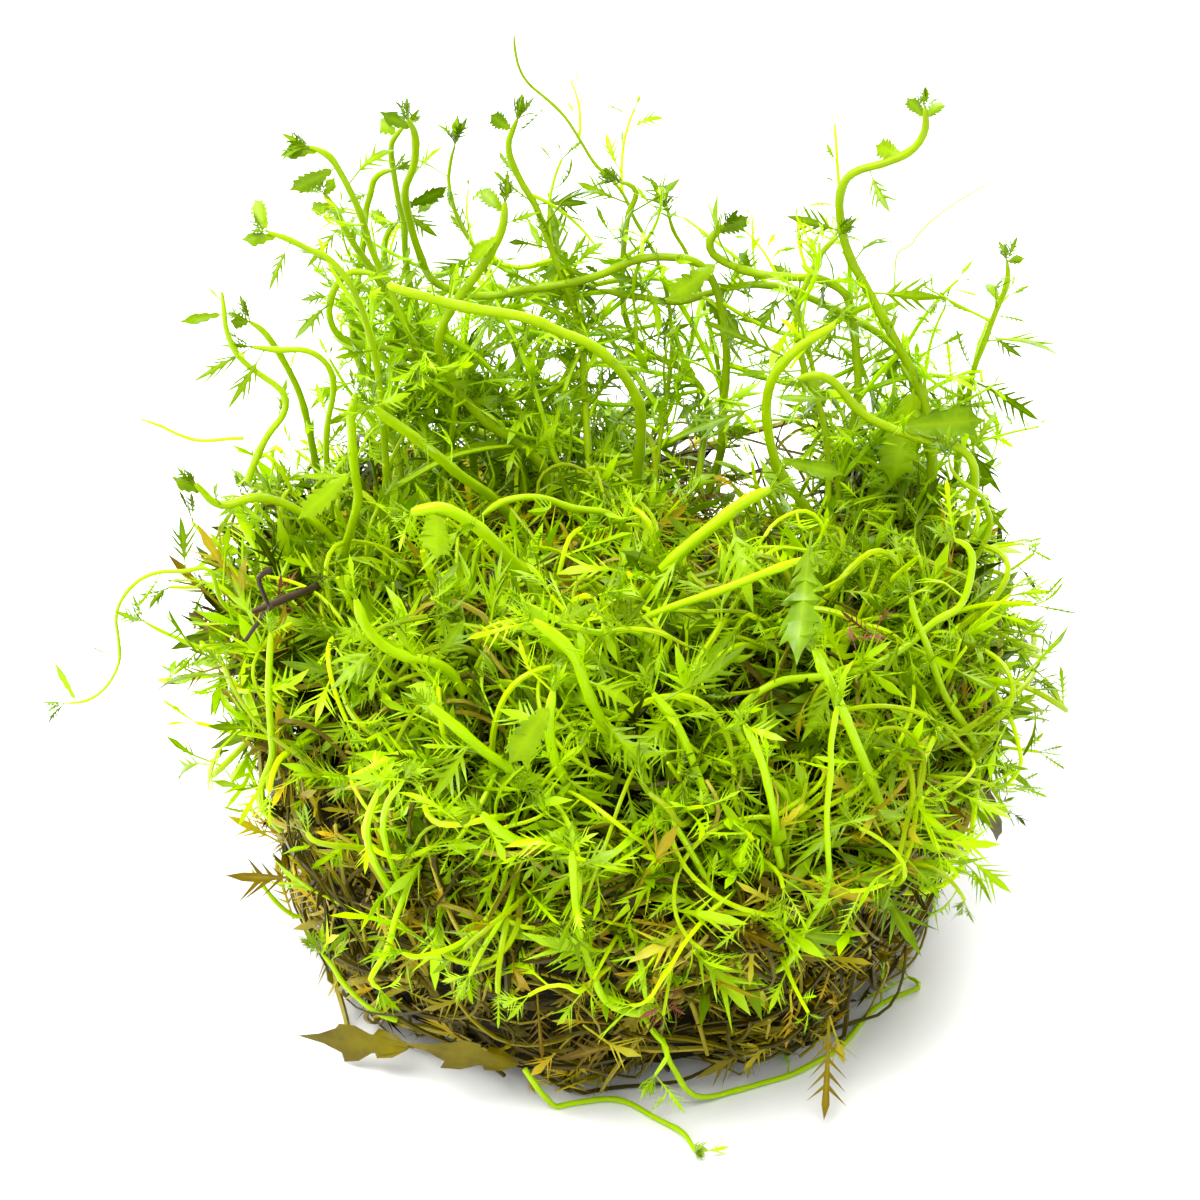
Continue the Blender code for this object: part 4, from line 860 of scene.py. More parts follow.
# Young growth: the tangle of fresh leaves and short sprigs that fills the mat's dish and rises over
# its rim. Each leaf is cut almost to its midrib, thin and bright; its heart is dark with shade.
YOUNG_COLOURS = ("#302C00", "#546C00", "#80A400", "#A4C800", "#C0E400", "#D2F200")
YOUNG_STALKS = ("#86960A", "#B0C800", "#CAE400", "#DAF400")
HEART_COLOURS = ("#0C0A00", "#242200", "#484600")
HEART_GRAIN = 2.0
HEART_SINK = 8.0
HEART_ROUGHNESS = 3.0
HEART_PLACE = Vector((9, 2, 5))

# Where young leaves grow: up the wall from a height and over a stretch, and thinner on the left wall,
# at the back and in the hollows
WALL_STRETCH = (14.0, 16.0)
WALL_THINNING = 1.3
LEFT_WALL_X, LEFT_WALL_TOP, LEFT_WALL_SHARE = -27, 33, 0.3
BACK_Y, BACK_SHARE = 14, 0.55
HOLLOW_BARENESS = 0.85
GAP_OPENING = 11.0

# The loose leaves, in the terms of the mat's leaves, and their forms with the number of variants
YOUNG_LAYER = (1750, (-0.5, 7.5), (6, 12), (0.0, 0.85), 0.45, -0.1)
YOUNG_MIX = ((CUT, 10), (COMB, 5), (FORK, 8))


def in_gap(place):
    """Say whether a place is in the gap itself."""
    return 0 < place[2] - height_limit(place[0], place[1]) < GAP_OPENING


def top_share(places, normals):
    """Young leaves grow over the top and the rim, thinner at the back, and thin out down the wall."""
    high = np.clip((places[:, 2] - WALL_STRETCH[0]) / WALL_STRETCH[1], 0, 1) ** WALL_THINNING
    open_air = places[:, 2] > height_limit(places[:, 0], places[:, 1])
    left_wall = (places[:, 0] < LEFT_WALL_X) & (places[:, 2] < LEFT_WALL_TOP)
    for hollow_x, hollow_y, rise, radius in HUMMOCKS:
        if rise < 0:
            apart = (places[:, 0] - hollow_x) ** 2 + (places[:, 1] - hollow_y) ** 2
            high = high * (1 - HOLLOW_BARENESS * np.exp(-apart / radius ** 2))
    return (high * (normals[:, 2] > UNDERSIDE_TURN) * ~open_air * np.where(left_wall, LEFT_WALL_SHARE, 1.0)
            * np.where(places[:, 1] > BACK_Y, BACK_SHARE, 1.0))


# Sprigs: a few are modelled, and copies of them grow on the body. Their leaves lean along the stem,
# and get smaller from a share of their length at its foot, by another share at its tip
SPRIG_COUNT = 230
SPRIG_MODELS = 12
SPRIG_LENGTHS = (9, 16)
SPRIG_LEAVES = (5.0, 8.5)
SPRIG_SPACING = 3.0
SPRIG_MIX = ((COMB, 4), (CUT, 5), (FORK, 4))
SPRIG_STEPS = 12
SPRIG_BEND, SPRIG_SWAY = 1.0, 0.6
SPRIG_RADII = (0.3, 0.18)
SPRIG_TINT = 0.2
SPRIG_LEAN = 0.7
SPRIG_SHRINKING = (1.15, 0.6)
SPRIG_LEAFY = 0.97
SPRIG_UNEVEN = (0.8, 1.2)
SPRIG_FACING = 0.4
SPRIG_LEAF_TINTS = (-0.15, 0.15)

# Turns in radians: of the first leaf round a stem, from one to the next, and in a bud
FIRST_TURN = (0, 6)
LEAF_TURN = 2.4
BUD_TURN = 2.1
BUD_SPREAD = 0.55
BUD_LEAVES = (0.35, 0.6)

# Where the sprigs stand, and how they lean off the skin, rise and scatter
SPRIG_DEPTH = 6.0
SPRIG_OUT, SPRIG_RISE, SPRIG_SCATTER = 0.7, 0.35, 0.6
SPRIG_SIZES = (0.8, 1.1)
SPRIG_TINTS = (0.2, 0.7)


def side_of(tangent, turn):
    """Give a direction square to a stem, at a turn round it."""
    return unit(np.cross(tangent, (math.cos(turn), 0.3, math.sin(turn))))


def sprig(rng, length, leaf_length, forms):
    """Model a sprig: an arching stem with alternate leaves and a bud of small ones at its tip."""
    bend, sway = rng.uniform(-SPRIG_BEND, SPRIG_BEND), rng.uniform(-SPRIG_SWAY, SPRIG_SWAY)
    shares = [i / SPRIG_STEPS for i in range(SPRIG_STEPS)]
    headings = [unit(np.array((math.sin(bend * i), math.cos(bend * i), math.sin(sway * i)))) for i in shares]
    line = np.vstack(([(0, 0, 0)], np.cumsum(headings, axis=0) / SPRIG_STEPS)) * length
    stem = tube(line, np.linspace(*SPRIG_RADII, len(line)), 6, SPRIG_TINT)
    places, forwards, sizes = [], [], []
    turn = rng.uniform(*FIRST_TURN)
    at = SPRIG_SPACING
    while at < length * SPRIG_LEAFY:
        index = min(int(at / length * SPRIG_STEPS), SPRIG_STEPS - 1)
        beyond = at / length * SPRIG_STEPS - index
        places.append(line[index] + (line[index + 1] - line[index]) * beyond)
        forwards.append(side_of(headings[index], turn) + SPRIG_LEAN * headings[index])
        size = SPRIG_SHRINKING[0] - SPRIG_SHRINKING[1] * at / length
        sizes.append(leaf_length * size * rng.uniform(*SPRIG_UNEVEN))
        turn += LEAF_TURN
        at += SPRIG_SPACING * rng.uniform(*SPRIG_UNEVEN)
    for _ in range(3):
        turn += BUD_TURN
        places.append(line[-1])
        forwards.append(BUD_SPREAD * side_of(headings[-1], turn) + headings[-1])
        sizes.append(leaf_length * rng.uniform(*BUD_LEAVES))
    forwards = np.array(forwards)
    ups = unit(rng.normal(size=forwards.shape) * SPRIG_FACING + np.array((0, 0.3, 1.0)))
    leaves = scatter(rng, forms, np.array(places), forwards, ups, np.array(sizes),
                     rng.uniform(*SPRIG_LEAF_TINTS, len(places)))
    return join([stem, leaves])


all_triangles = skin_triangles(mat_rings + growth_rings)
# Young leaf is a bright yellow-green, and glows where light comes through it. The heart is the same
# tissue in deep shade: dark brown-green, and dull
young_finish = plant_tissue("young_leaf_tissue", (YOUNG_COLOURS, YOUNG_STALKS), 0.4, 0.35)
heart = shade_tissue("shaded_heart", HEART_COLOURS, HEART_GRAIN, 0.6, 0.0)
growth_core = sunken_core("young_growth", "growth_heart", heart, 1.0, HEART_SINK, HEART_ROUGHNESS,
                          HEART_PLACE)

young_forms = mixed_leaves(GROW, YOUNG_MIX)
young_layer = layer_of_leaves(GROW, young_forms, all_triangles, top_share, *YOUNG_LAYER)
young_leaves = mesh_piece("young_leaves", young_layer, young_finish)

sprig_forms = mixed_leaves(GROW, SPRIG_MIX)
sprigs = [sprig(GROW, GROW.uniform(*SPRIG_LENGTHS), GROW.uniform(*SPRIG_LEAVES), sprig_forms)
          for _ in range(SPRIG_MODELS)]
sprig_places, sprig_normals = spots_on(GROW, all_triangles, SPRIG_COUNT, top_share)
sprig_forwards = (SPRIG_OUT * sprig_normals + np.array((0, 0, SPRIG_RISE))
                  + SPRIG_SCATTER * GROW.normal(size=sprig_normals.shape))
sprig_part = scatter(GROW, sprigs, sprig_places - SPRIG_DEPTH * sprig_normals, sprig_forwards,
                     unit(GROW.normal(size=sprig_normals.shape)),
                     GROW.uniform(*SPRIG_SIZES, len(sprig_places)),
                     GROW.uniform(*SPRIG_TINTS, len(sprig_places)))
growth_sprigs = mesh_piece("growth_sprigs", sprig_part, young_finish)

# Loose stems curl through the leaves and over them, between heights over the skin as the roots do
LOOSE_COUNT = 200
LOOSE_LOWEST = 17.0
LOOSE_DEPTH = 5.0
LOOSE_RISE = 0.5
LOOSE_LENGTHS = (12, 28)
LOOSE_START, LOOSE_ENDS, LOOSE_BOWS = -2.0, (0.5, 5.0), (1.0, 4.5)
LOOSE_TURNING = 0.15
LOOSE_STEP = 1.1
LOOSE_RADII = (0.24, 0.42)
LOOSE_TAPER = 0.7
LOOSE_TINTS = (0.15, 0.95)

# Their leaves start at a step of the line, with steps between them. The three at the tip are shorter,
# and lean and scatter differently. The tint is a base, and a share of the stem's tint
LOOSE_LEAF_FIRST = (4, 9)
LOOSE_LEAF_STEPS = (4, 7)
LOOSE_LEAF_LENGTHS = (4, 8.5)
LOOSE_LEAF_LEAN = 0.6
LOOSE_LEAF_TINT = (0.25, 0.6)
TIP_LEAF_SHARE, TIP_LEAF_LEAN, TIP_LEAF_SCATTER = 0.6, 1.2, 0.5


def leaf_headings(rng, line, picked, lean):
    """Give a line's own directions at some of its points, and those of leaves that grow there."""
    tangents = unit(np.gradient(line, axis=0))[picked]
    return tangents, lean * tangents + unit(np.cross(tangents, rng.normal(size=tangents.shape)))


loose_parts = []
for place, normal in zip(*spots_on(GROW, all_triangles, LOOSE_COUNT, top_share)):
    heading = unit(np.cross(normal, GROW.normal(size=3)) + LOOSE_RISE * normal)
    length, *heights = (GROW.uniform(*reach)
                        for reach in (LOOSE_LENGTHS, LOOSE_ENDS, LOOSE_BOWS))
    line = crawling_line(GROW, place - LOOSE_DEPTH * normal, heading, length,
                         (LOOSE_START, *heights), LOOSE_TURNING, LOOSE_STEP)
    if line[:, 2].min() < LOOSE_LOWEST or any(in_gap(point) for point in line):
        continue
    radii = GROW.uniform(*LOOSE_RADII) * np.linspace(1.0, LOOSE_TAPER, len(line))
    tint = GROW.uniform(*LOOSE_TINTS)
    loose_parts.append(tube(line, radii, 6, tint))
    first, spacing = int(GROW.integers(*LOOSE_LEAF_FIRST)), int(GROW.integers(*LOOSE_LEAF_STEPS))
    picked = np.append(np.arange(first, len(line), spacing), [len(line) - 1] * 3)
    tangents, forwards = leaf_headings(GROW, line, picked, LOOSE_LEAF_LEAN)
    forwards[-3:] = TIP_LEAF_LEAN * tangents[-3:] + TIP_LEAF_SCATTER * unit(GROW.normal(size=(3, 3)))
    facing = unit(normal + FACING_SPREAD * GROW.normal(size=tangents.shape))
    sizes = GROW.uniform(*LOOSE_LEAF_LENGTHS, len(picked))
    sizes[-3:] *= TIP_LEAF_SHARE
    loose_parts.append(scatter(GROW, young_forms, line[picked], forwards, facing, sizes,
                               np.full(len(picked), LOOSE_LEAF_TINT[0] + LOOSE_LEAF_TINT[1] * tint)))
loose_stems = mesh_piece("loose_young_stems", join(loose_parts), young_finish)

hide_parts("young_growth")
for piece in (growth_core, young_leaves, growth_sprigs, loose_stems):
    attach(piece, "root")


# Yellowed leaves: old ones that show through the young growth in a few spots, golden or brown, and
# three crumpled scraps of dead brown leaf. They lie loose on the mat and among the fresh leaves.
# Each spot: across and down on the drawing plane, spread, number of leaves
YELLOWED_SPOTS = (
    (440, 450, 22, 9), (480, 560, 24, 10), (600, 620, 26, 10), (970, 500, 26, 10), (985, 590, 22, 9),
    (225, 640, 28, 26), (235, 750, 32, 26), (300, 860, 34, 14), (560, 960, 60, 14), (800, 930, 60, 12),
    (700, 880, 40, 10), (900, 800, 34, 10),
)
SCRAP_SPOTS = ((853, 656, 4, 6), (662, 979, 4, 6), (287, 623, 3, 5))
YELLOWED_COLOURS = ("#5E4800", "#867006", "#A8960A", "#C2B412", "#D0CA2C")
SCRAP_COLOURS = ("#4A2414", "#7A4228", "#A86C50")

# Their lengths and how far above the surface they start, and how all of them lift and face the eye
YELLOWED_LENGTHS, YELLOWED_RISE = (5, 10), 1.4
SCRAP_LENGTHS, SCRAP_RISE = (2.5, 4.5), 3.0
SPOT_LIFT, SPOT_FACING = 0.4, 0.6
EYE_ROW = np.array(EYEWARD)

# Yellowed leaf is golden to ochre and still lets light through. Scraps are a dull red-brown
yellowed_finish = plant_tissue("yellowed_leaf_tissue", (YELLOWED_COLOURS, YELLOWED_COLOURS[2:]), 0.3, 0.45)
scrap_finish = plant_tissue("dead_leaf_scrap", (SCRAP_COLOURS, SCRAP_COLOURS), 0.1, 0.6)


def sight_place(across, down, towards):
    """Give the place on the sight line through a grid point, so far towards the eye from the plane."""
    shrink = 1 - towards / EYE_DISTANCE
    right = (across - GRID_MIDDLE) * GRID_STEP * shrink
    up = (GRID_MIDDLE - down) * GRID_STEP * shrink
    return AIM + right * ACROSS + up * UPWARD + towards * EYEWARD


def leaves_seen_at(rng, spots, variants, lengths, rise):
    """Scatter leaves on the body where it is seen near each spot, so far above its surface."""
    places, forwards, facings = [], [], []
    for across, down, spread, count in spots:
        for _ in range(count):
            aim = sight_place(across + spread * rng.normal(), down + spread * rng.normal(), 0) - EYE
            hit, normal, _, _ = body_skin.ray_cast(EYE, aim.normalized())
            if hit is None:
                continue
            places.append(np.array(hit) + rise * np.array(normal))
            forwards.append(unit(rng.normal(size=3)) + SPOT_LIFT * np.array(normal))
            facings.append(EYE_ROW + SPOT_FACING * rng.normal(size=3))
    count = len(places)
    return scatter(rng, variants, np.array(places), np.array(forwards), np.array(facings),
                   rng.uniform(*lengths, count), rng.uniform(0, 1, count))


yellowed_part = leaves_seen_at(GROW, YELLOWED_SPOTS, old_forms, YELLOWED_LENGTHS, YELLOWED_RISE)
scrap_part = leaves_seen_at(GROW, SCRAP_SPOTS, old_forms, SCRAP_LENGTHS, SCRAP_RISE)
yellowed = mesh_piece("yellowed_leaves", yellowed_part, yellowed_finish)
scraps = mesh_piece("dead_leaf_scraps", scrap_part, scrap_finish)
for piece in (yellowed, scraps):
    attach(piece, "root")


# Shoots: the curling stems that spring from the young growth and the mat. Each is a living stem,
# round and a little swollen at its nodes, with the leaves that grew from it and a bud at its tip.

# In a row: name, width at the tip, width at the root, depth at the tip, extra depth half way, route.
# Widths and routes are in grid steps, and depths are in millimetres towards the back.
# A route gives across and down by turns, from the tip to the root on the young growth or the mat.
SHOOTS = (
    ("two_leaf_shoot", 6, 9, 24, 0, (405, 125, 393, 140, 391, 152, 394, 175, 399, 203, 404, 222, 405, 250,
        410, 285, 425, 330, 455, 375, 490, 415, 520, 460, 540, 510)),
    ("long_crossing_shoot", 8, 9, 19, 4, (408, 120, 415, 135, 414, 165, 405, 190, 409, 218, 419, 252,
        435, 282, 480, 296, 520, 290, 570, 283, 600, 275, 640, 259, 680, 258, 706, 270, 722, 310, 726, 370,
        715, 440, 702, 510)),
    ("nodding_left_shoot", 7, 9, 14, 0, (310, 147, 328, 155, 340, 172, 352, 195, 362, 218, 370, 245,
        385, 280, 405, 325, 430, 370, 455, 415, 470, 460, 478, 512)),
    ("upright_left_shoot", 7, 8, 22, 0, (392, 170, 376, 176, 371, 192, 365, 215, 363, 245, 357, 285,
        352, 320, 358, 360, 378, 400, 395, 445, 402, 485, 405, 525)),
    ("budding_left_shoot", 6, 8, 8, 0, (268, 232, 290, 240, 310, 250, 325, 256, 345, 275, 360, 305,
        372, 345, 380, 390, 384, 440, 388, 490, 392, 530)),
    ("leafy_left_shoot", 7, 8, 17, 0, (325, 195, 335, 210, 343, 225, 350, 238, 360, 253, 374, 272, 388, 300,
        398, 340, 410, 390, 425, 440, 432, 490, 436, 525)),
    ("looped_left_shoot", 7, 8, 9, 0, (375, 275, 355, 272, 343, 278, 333, 292, 329, 312, 335, 331, 350, 342,
        380, 347, 405, 353, 425, 365, 442, 390, 452, 425, 456, 465, 455, 510)),
    ("slender_middle_shoot", 7, 8, 27, 0, (397, 222, 387, 235, 384, 255, 387, 290, 391, 310, 402, 332,
        425, 352, 460, 372, 500, 398, 535, 430, 560, 470, 572, 515)),
    ("great_arching_shoot", 10, 11, 6, -2, (388, 285, 400, 290, 430, 298, 464, 307, 527, 318, 560, 332,
        591, 345, 618, 368, 637, 398, 641, 420, 640, 450, 636, 485, 632, 520)),
    ("swan_neck_shoot", 9, 10, 12, 0, (505, 203, 503, 225, 495, 245, 476, 275, 454, 304, 440, 333, 440, 355,
        451, 377, 467, 402, 490, 425, 520, 445, 545, 470, 560, 512)),
    ("back_middle_shoot", 7, 8, 30, 0, (517, 120, 509, 140, 509, 152, 513, 165, 523, 185, 534, 203,
        542, 222, 550, 245, 562, 275, 575, 310, 582, 350, 585, 400, 588, 450, 592, 505)),
    ("fine_bud_shoot", 4, 6, 33, 0, (455, 145, 451, 160, 449, 185, 459, 222, 477, 252, 490, 280, 505, 320,
        520, 365, 532, 410, 540, 460, 545, 512)),
    ("thread_shoot", 3, 5, 34, 0, (514, 35, 515, 50, 520, 70, 530, 85, 548, 100, 565, 117, 580, 140,
        595, 164, 612, 180, 625, 197, 634, 218, 647, 240, 658, 262, 668, 300, 672, 345, 668, 390, 660, 440,
        655, 508)),
    ("hooked_back_shoot", 6, 7, 28, 0, (620, 182, 634, 187, 636, 198, 629, 212, 624, 245, 622, 280,
        625, 315, 635, 338, 655, 356, 684, 371, 705, 395, 712, 430, 706, 470, 698, 512)),
    ("comb_leaf_shoot", 4, 6, 33, 0, (667, 210, 674, 232, 685, 250, 695, 275, 705, 310, 715, 350, 722, 400,
        720, 450, 718, 508)),
    ("knotted_shoot", 9, 9, 22, 0, (724, 226, 711, 238, 711, 251, 725, 262, 755, 273, 790, 277, 815, 278,
        832, 284, 846, 295, 853, 318, 856, 350, 858, 390, 852, 430, 842, 470, 832, 515)),
    ("trailing_back_shoot", 7, 9, 24, 2, (600, 290, 640, 297, 677, 302, 703, 295, 744, 285, 783, 288,
        830, 307, 878, 333, 905, 360, 918, 400, 915, 440, 905, 480, 892, 520)),
    ("s_curve_shoot", 10, 10, 3, 0, (835, 325, 815, 337, 796, 350, 776, 372, 767, 398, 768, 430, 776, 462,
        792, 490, 808, 510, 816, 540, 818, 575)),
    ("tall_right_shoot", 8, 12, 20, 0, (925, 108, 925, 130, 912, 150, 885, 163, 862, 169, 847, 178,
        840, 195, 840, 215, 844, 240, 852, 262, 862, 280, 873, 300, 887, 325, 900, 350, 912, 372, 926, 410,
        932, 450, 930, 490, 922, 530)),
    ("whorl_side_shoot", 6, 7, 17, 0, (838, 236, 821, 254, 805, 286, 797, 312, 798, 345, 808, 380, 822, 415,
        828, 460, 830, 510, 836, 560)),
    ("far_right_shoot", 6, 7, 18, 0, (1007, 262, 1008, 275, 1005, 290, 996, 311, 984, 343, 974, 369,
        968, 400, 962, 440, 955, 480, 948, 525)),
    ("right_sweeping_shoot", 9, 9, 6, 0, (799, 379, 818, 375, 837, 385, 859, 411, 888, 427, 923, 439,
        955, 446, 972, 462, 974, 492, 962, 535)),
    ("bold_front_shoot", 12, 12, -16, 0, (412, 512, 441, 508, 464, 518, 486, 534, 508, 556, 528, 578,
        546, 606, 556, 632)),
    ("low_arch_shoot", 7, 7, -4, 0, (483, 515, 502, 502, 528, 497, 550, 500, 572, 508, 607, 513, 624, 528,
        632, 552)),
    ("yellow_stalk", 12, 12, -10, 0, (770, 489, 744, 502, 719, 521, 687, 547, 661, 572, 642, 598,
        630, 622)),
    ("lower_stalk", 8, 8, -18, 0, (802, 559, 760, 575, 719, 591, 681, 604, 649, 617, 632, 636)),
    ("left_crossing_shoot", 10, 10, -6, 0, (365, 405, 374, 411, 403, 429, 435, 454, 460, 475, 490, 496,
        512, 520, 524, 552)),
    ("left_hanging_shoot", 9, 9, -6, 0, (362, 398, 354, 418, 352, 441, 355, 473, 358, 499, 352, 524,
        344, 552, 340, 585)),
    ("kinked_left_shoot", 8, 9, 2, 0, (196, 484, 216, 504, 236, 503, 253, 497, 280, 502, 305, 515, 330, 537,
        345, 565)),
    ("hooked_left_shoot", 5, 8, 2, 0, (222, 292, 224, 310, 227, 332, 240, 358, 265, 378, 280, 389, 286, 402,
        282, 416, 268, 432, 256, 450, 243, 474, 240, 486)),
    ("ribbed_left_shoot", 7, 8, 9, 0, (250, 322, 263, 331, 277, 350, 290, 373, 300, 395, 308, 425, 314, 455,
        320, 485, 326, 522)),
    ("straight_left_shoot", 6, 7, 3, 0, (253, 347, 279, 350, 304, 350, 322, 359, 332, 375, 333, 395,
        328, 420, 326, 450, 330, 490, 338, 540)),
    ("pale_thread", 3, 4, 4, 0, (141, 419, 164, 427, 183, 435, 205, 438, 237, 432, 257, 430)),
    ("left_runner", 3, 5, -4, 0, (65, 703, 86, 701, 106, 687, 119, 662, 118, 636, 116, 618, 122, 599,
        138, 581, 160, 572, 188, 571, 205, 567, 214, 578, 222, 602)),
    ("right_falling_shoot", 7, 8, -12, 0, (955, 540, 969, 548, 972, 569, 961, 605, 936, 621, 907, 646,
        867, 668, 819, 677, 781, 681, 749, 700, 733, 728, 733, 760, 745, 789, 771, 811, 800, 837)),
    ("right_edge_shoot", 7, 8, -16, 0, (911, 598, 915, 617, 927, 646, 940, 684, 953, 716, 963, 745,
        966, 770)),
    ("right_upright_shoot", 9, 10, -28, 0, (814, 650, 834, 690, 851, 730, 868, 771, 882, 811, 886, 835)),
    ("front_falling_shoot", 6, 6, -34, 0, (837, 707, 831, 745, 831, 771, 827, 811, 828, 851, 829, 880,
        820, 905, 799, 928, 779, 951, 762, 969)),
    ("front_right_stem", 8, 8, -28, 0, (653, 693, 672, 716, 688, 748, 700, 785, 706, 815)),
    ("front_short_stem", 8, 8, -34, 0, (745, 725, 761, 760, 771, 799, 776, 831, 775, 868)),
    ("near_left_shoot", 10, 10, -22, 0, (356, 600, 365, 625, 384, 646, 407, 657, 430, 661, 450, 672,
        462, 694)),
    ("near_low_shoot", 10, 10, -29, 0, (430, 705, 455, 726, 484, 751, 508, 768, 524, 790)),
    ("near_middle_shoot", 11, 11, -27, 0, (534, 621, 560, 640, 576, 659, 584, 682, 595, 709, 605, 728,
        616, 752)),
    ("near_bent_shoot", 10, 10, -32, 0, (553, 692, 549, 719, 551, 745, 558, 768, 568, 786, 570, 808)),
    ("near_left_low_shoot", 8, 8, -31, 0, (350, 778, 369, 770, 398, 755, 420, 757, 436, 775)),
    ("front_bow_shoot", 10, 10, -38, 0, (482, 814, 499, 830, 522, 843, 545, 841, 570, 829, 585, 842)),
    ("front_trailing_shoot", 8, 8, -40, 0, (572, 851, 575, 897, 580, 935, 593, 968, 606, 989, 629, 999,
        652, 1004)),
    ("left_wall_shoot", 7, 7, -20, 0, (271, 633, 269, 671, 269, 703, 273, 751, 281, 786, 289, 828)),
    ("front_left_hook", 6, 6, -38, 0, (380, 989, 370, 979, 380, 963, 389, 945, 395, 920, 407, 894,
        424, 872)),
    ("left_foot_shoot", 5, 5, -28, 0, (322, 954, 331, 964, 344, 984, 363, 1000, 384, 1008, 402, 1014)),
    ("dead_dark_stem", 7, 10, -14, 0, (252, 612, 287, 598, 314, 588, 341, 576)),
)

# Shoots that fork from another shoot, and that shoot
FORKS = {"hooked_left_shoot": "kinked_left_shoot", "pale_thread": "hooked_left_shoot"}

# Runners that lie on the surface: name, widths, height where they leave the mat, route from the tip
RUNNERS = (
    ("front_runner", 5, 6, 5.5, (695, 1152, 683, 1133, 652, 1116, 629, 1102, 603, 1091, 572, 1083,
        546, 1069, 528, 1052)),
    ("looped_runner", 5, 6, 9, (908, 977, 921, 986, 894, 997, 851, 1015, 811, 1043, 782, 1070, 756, 1084,
        726, 1093, 703, 1097, 687, 1090, 675, 1068, 664, 1040, 655, 1012)),
)

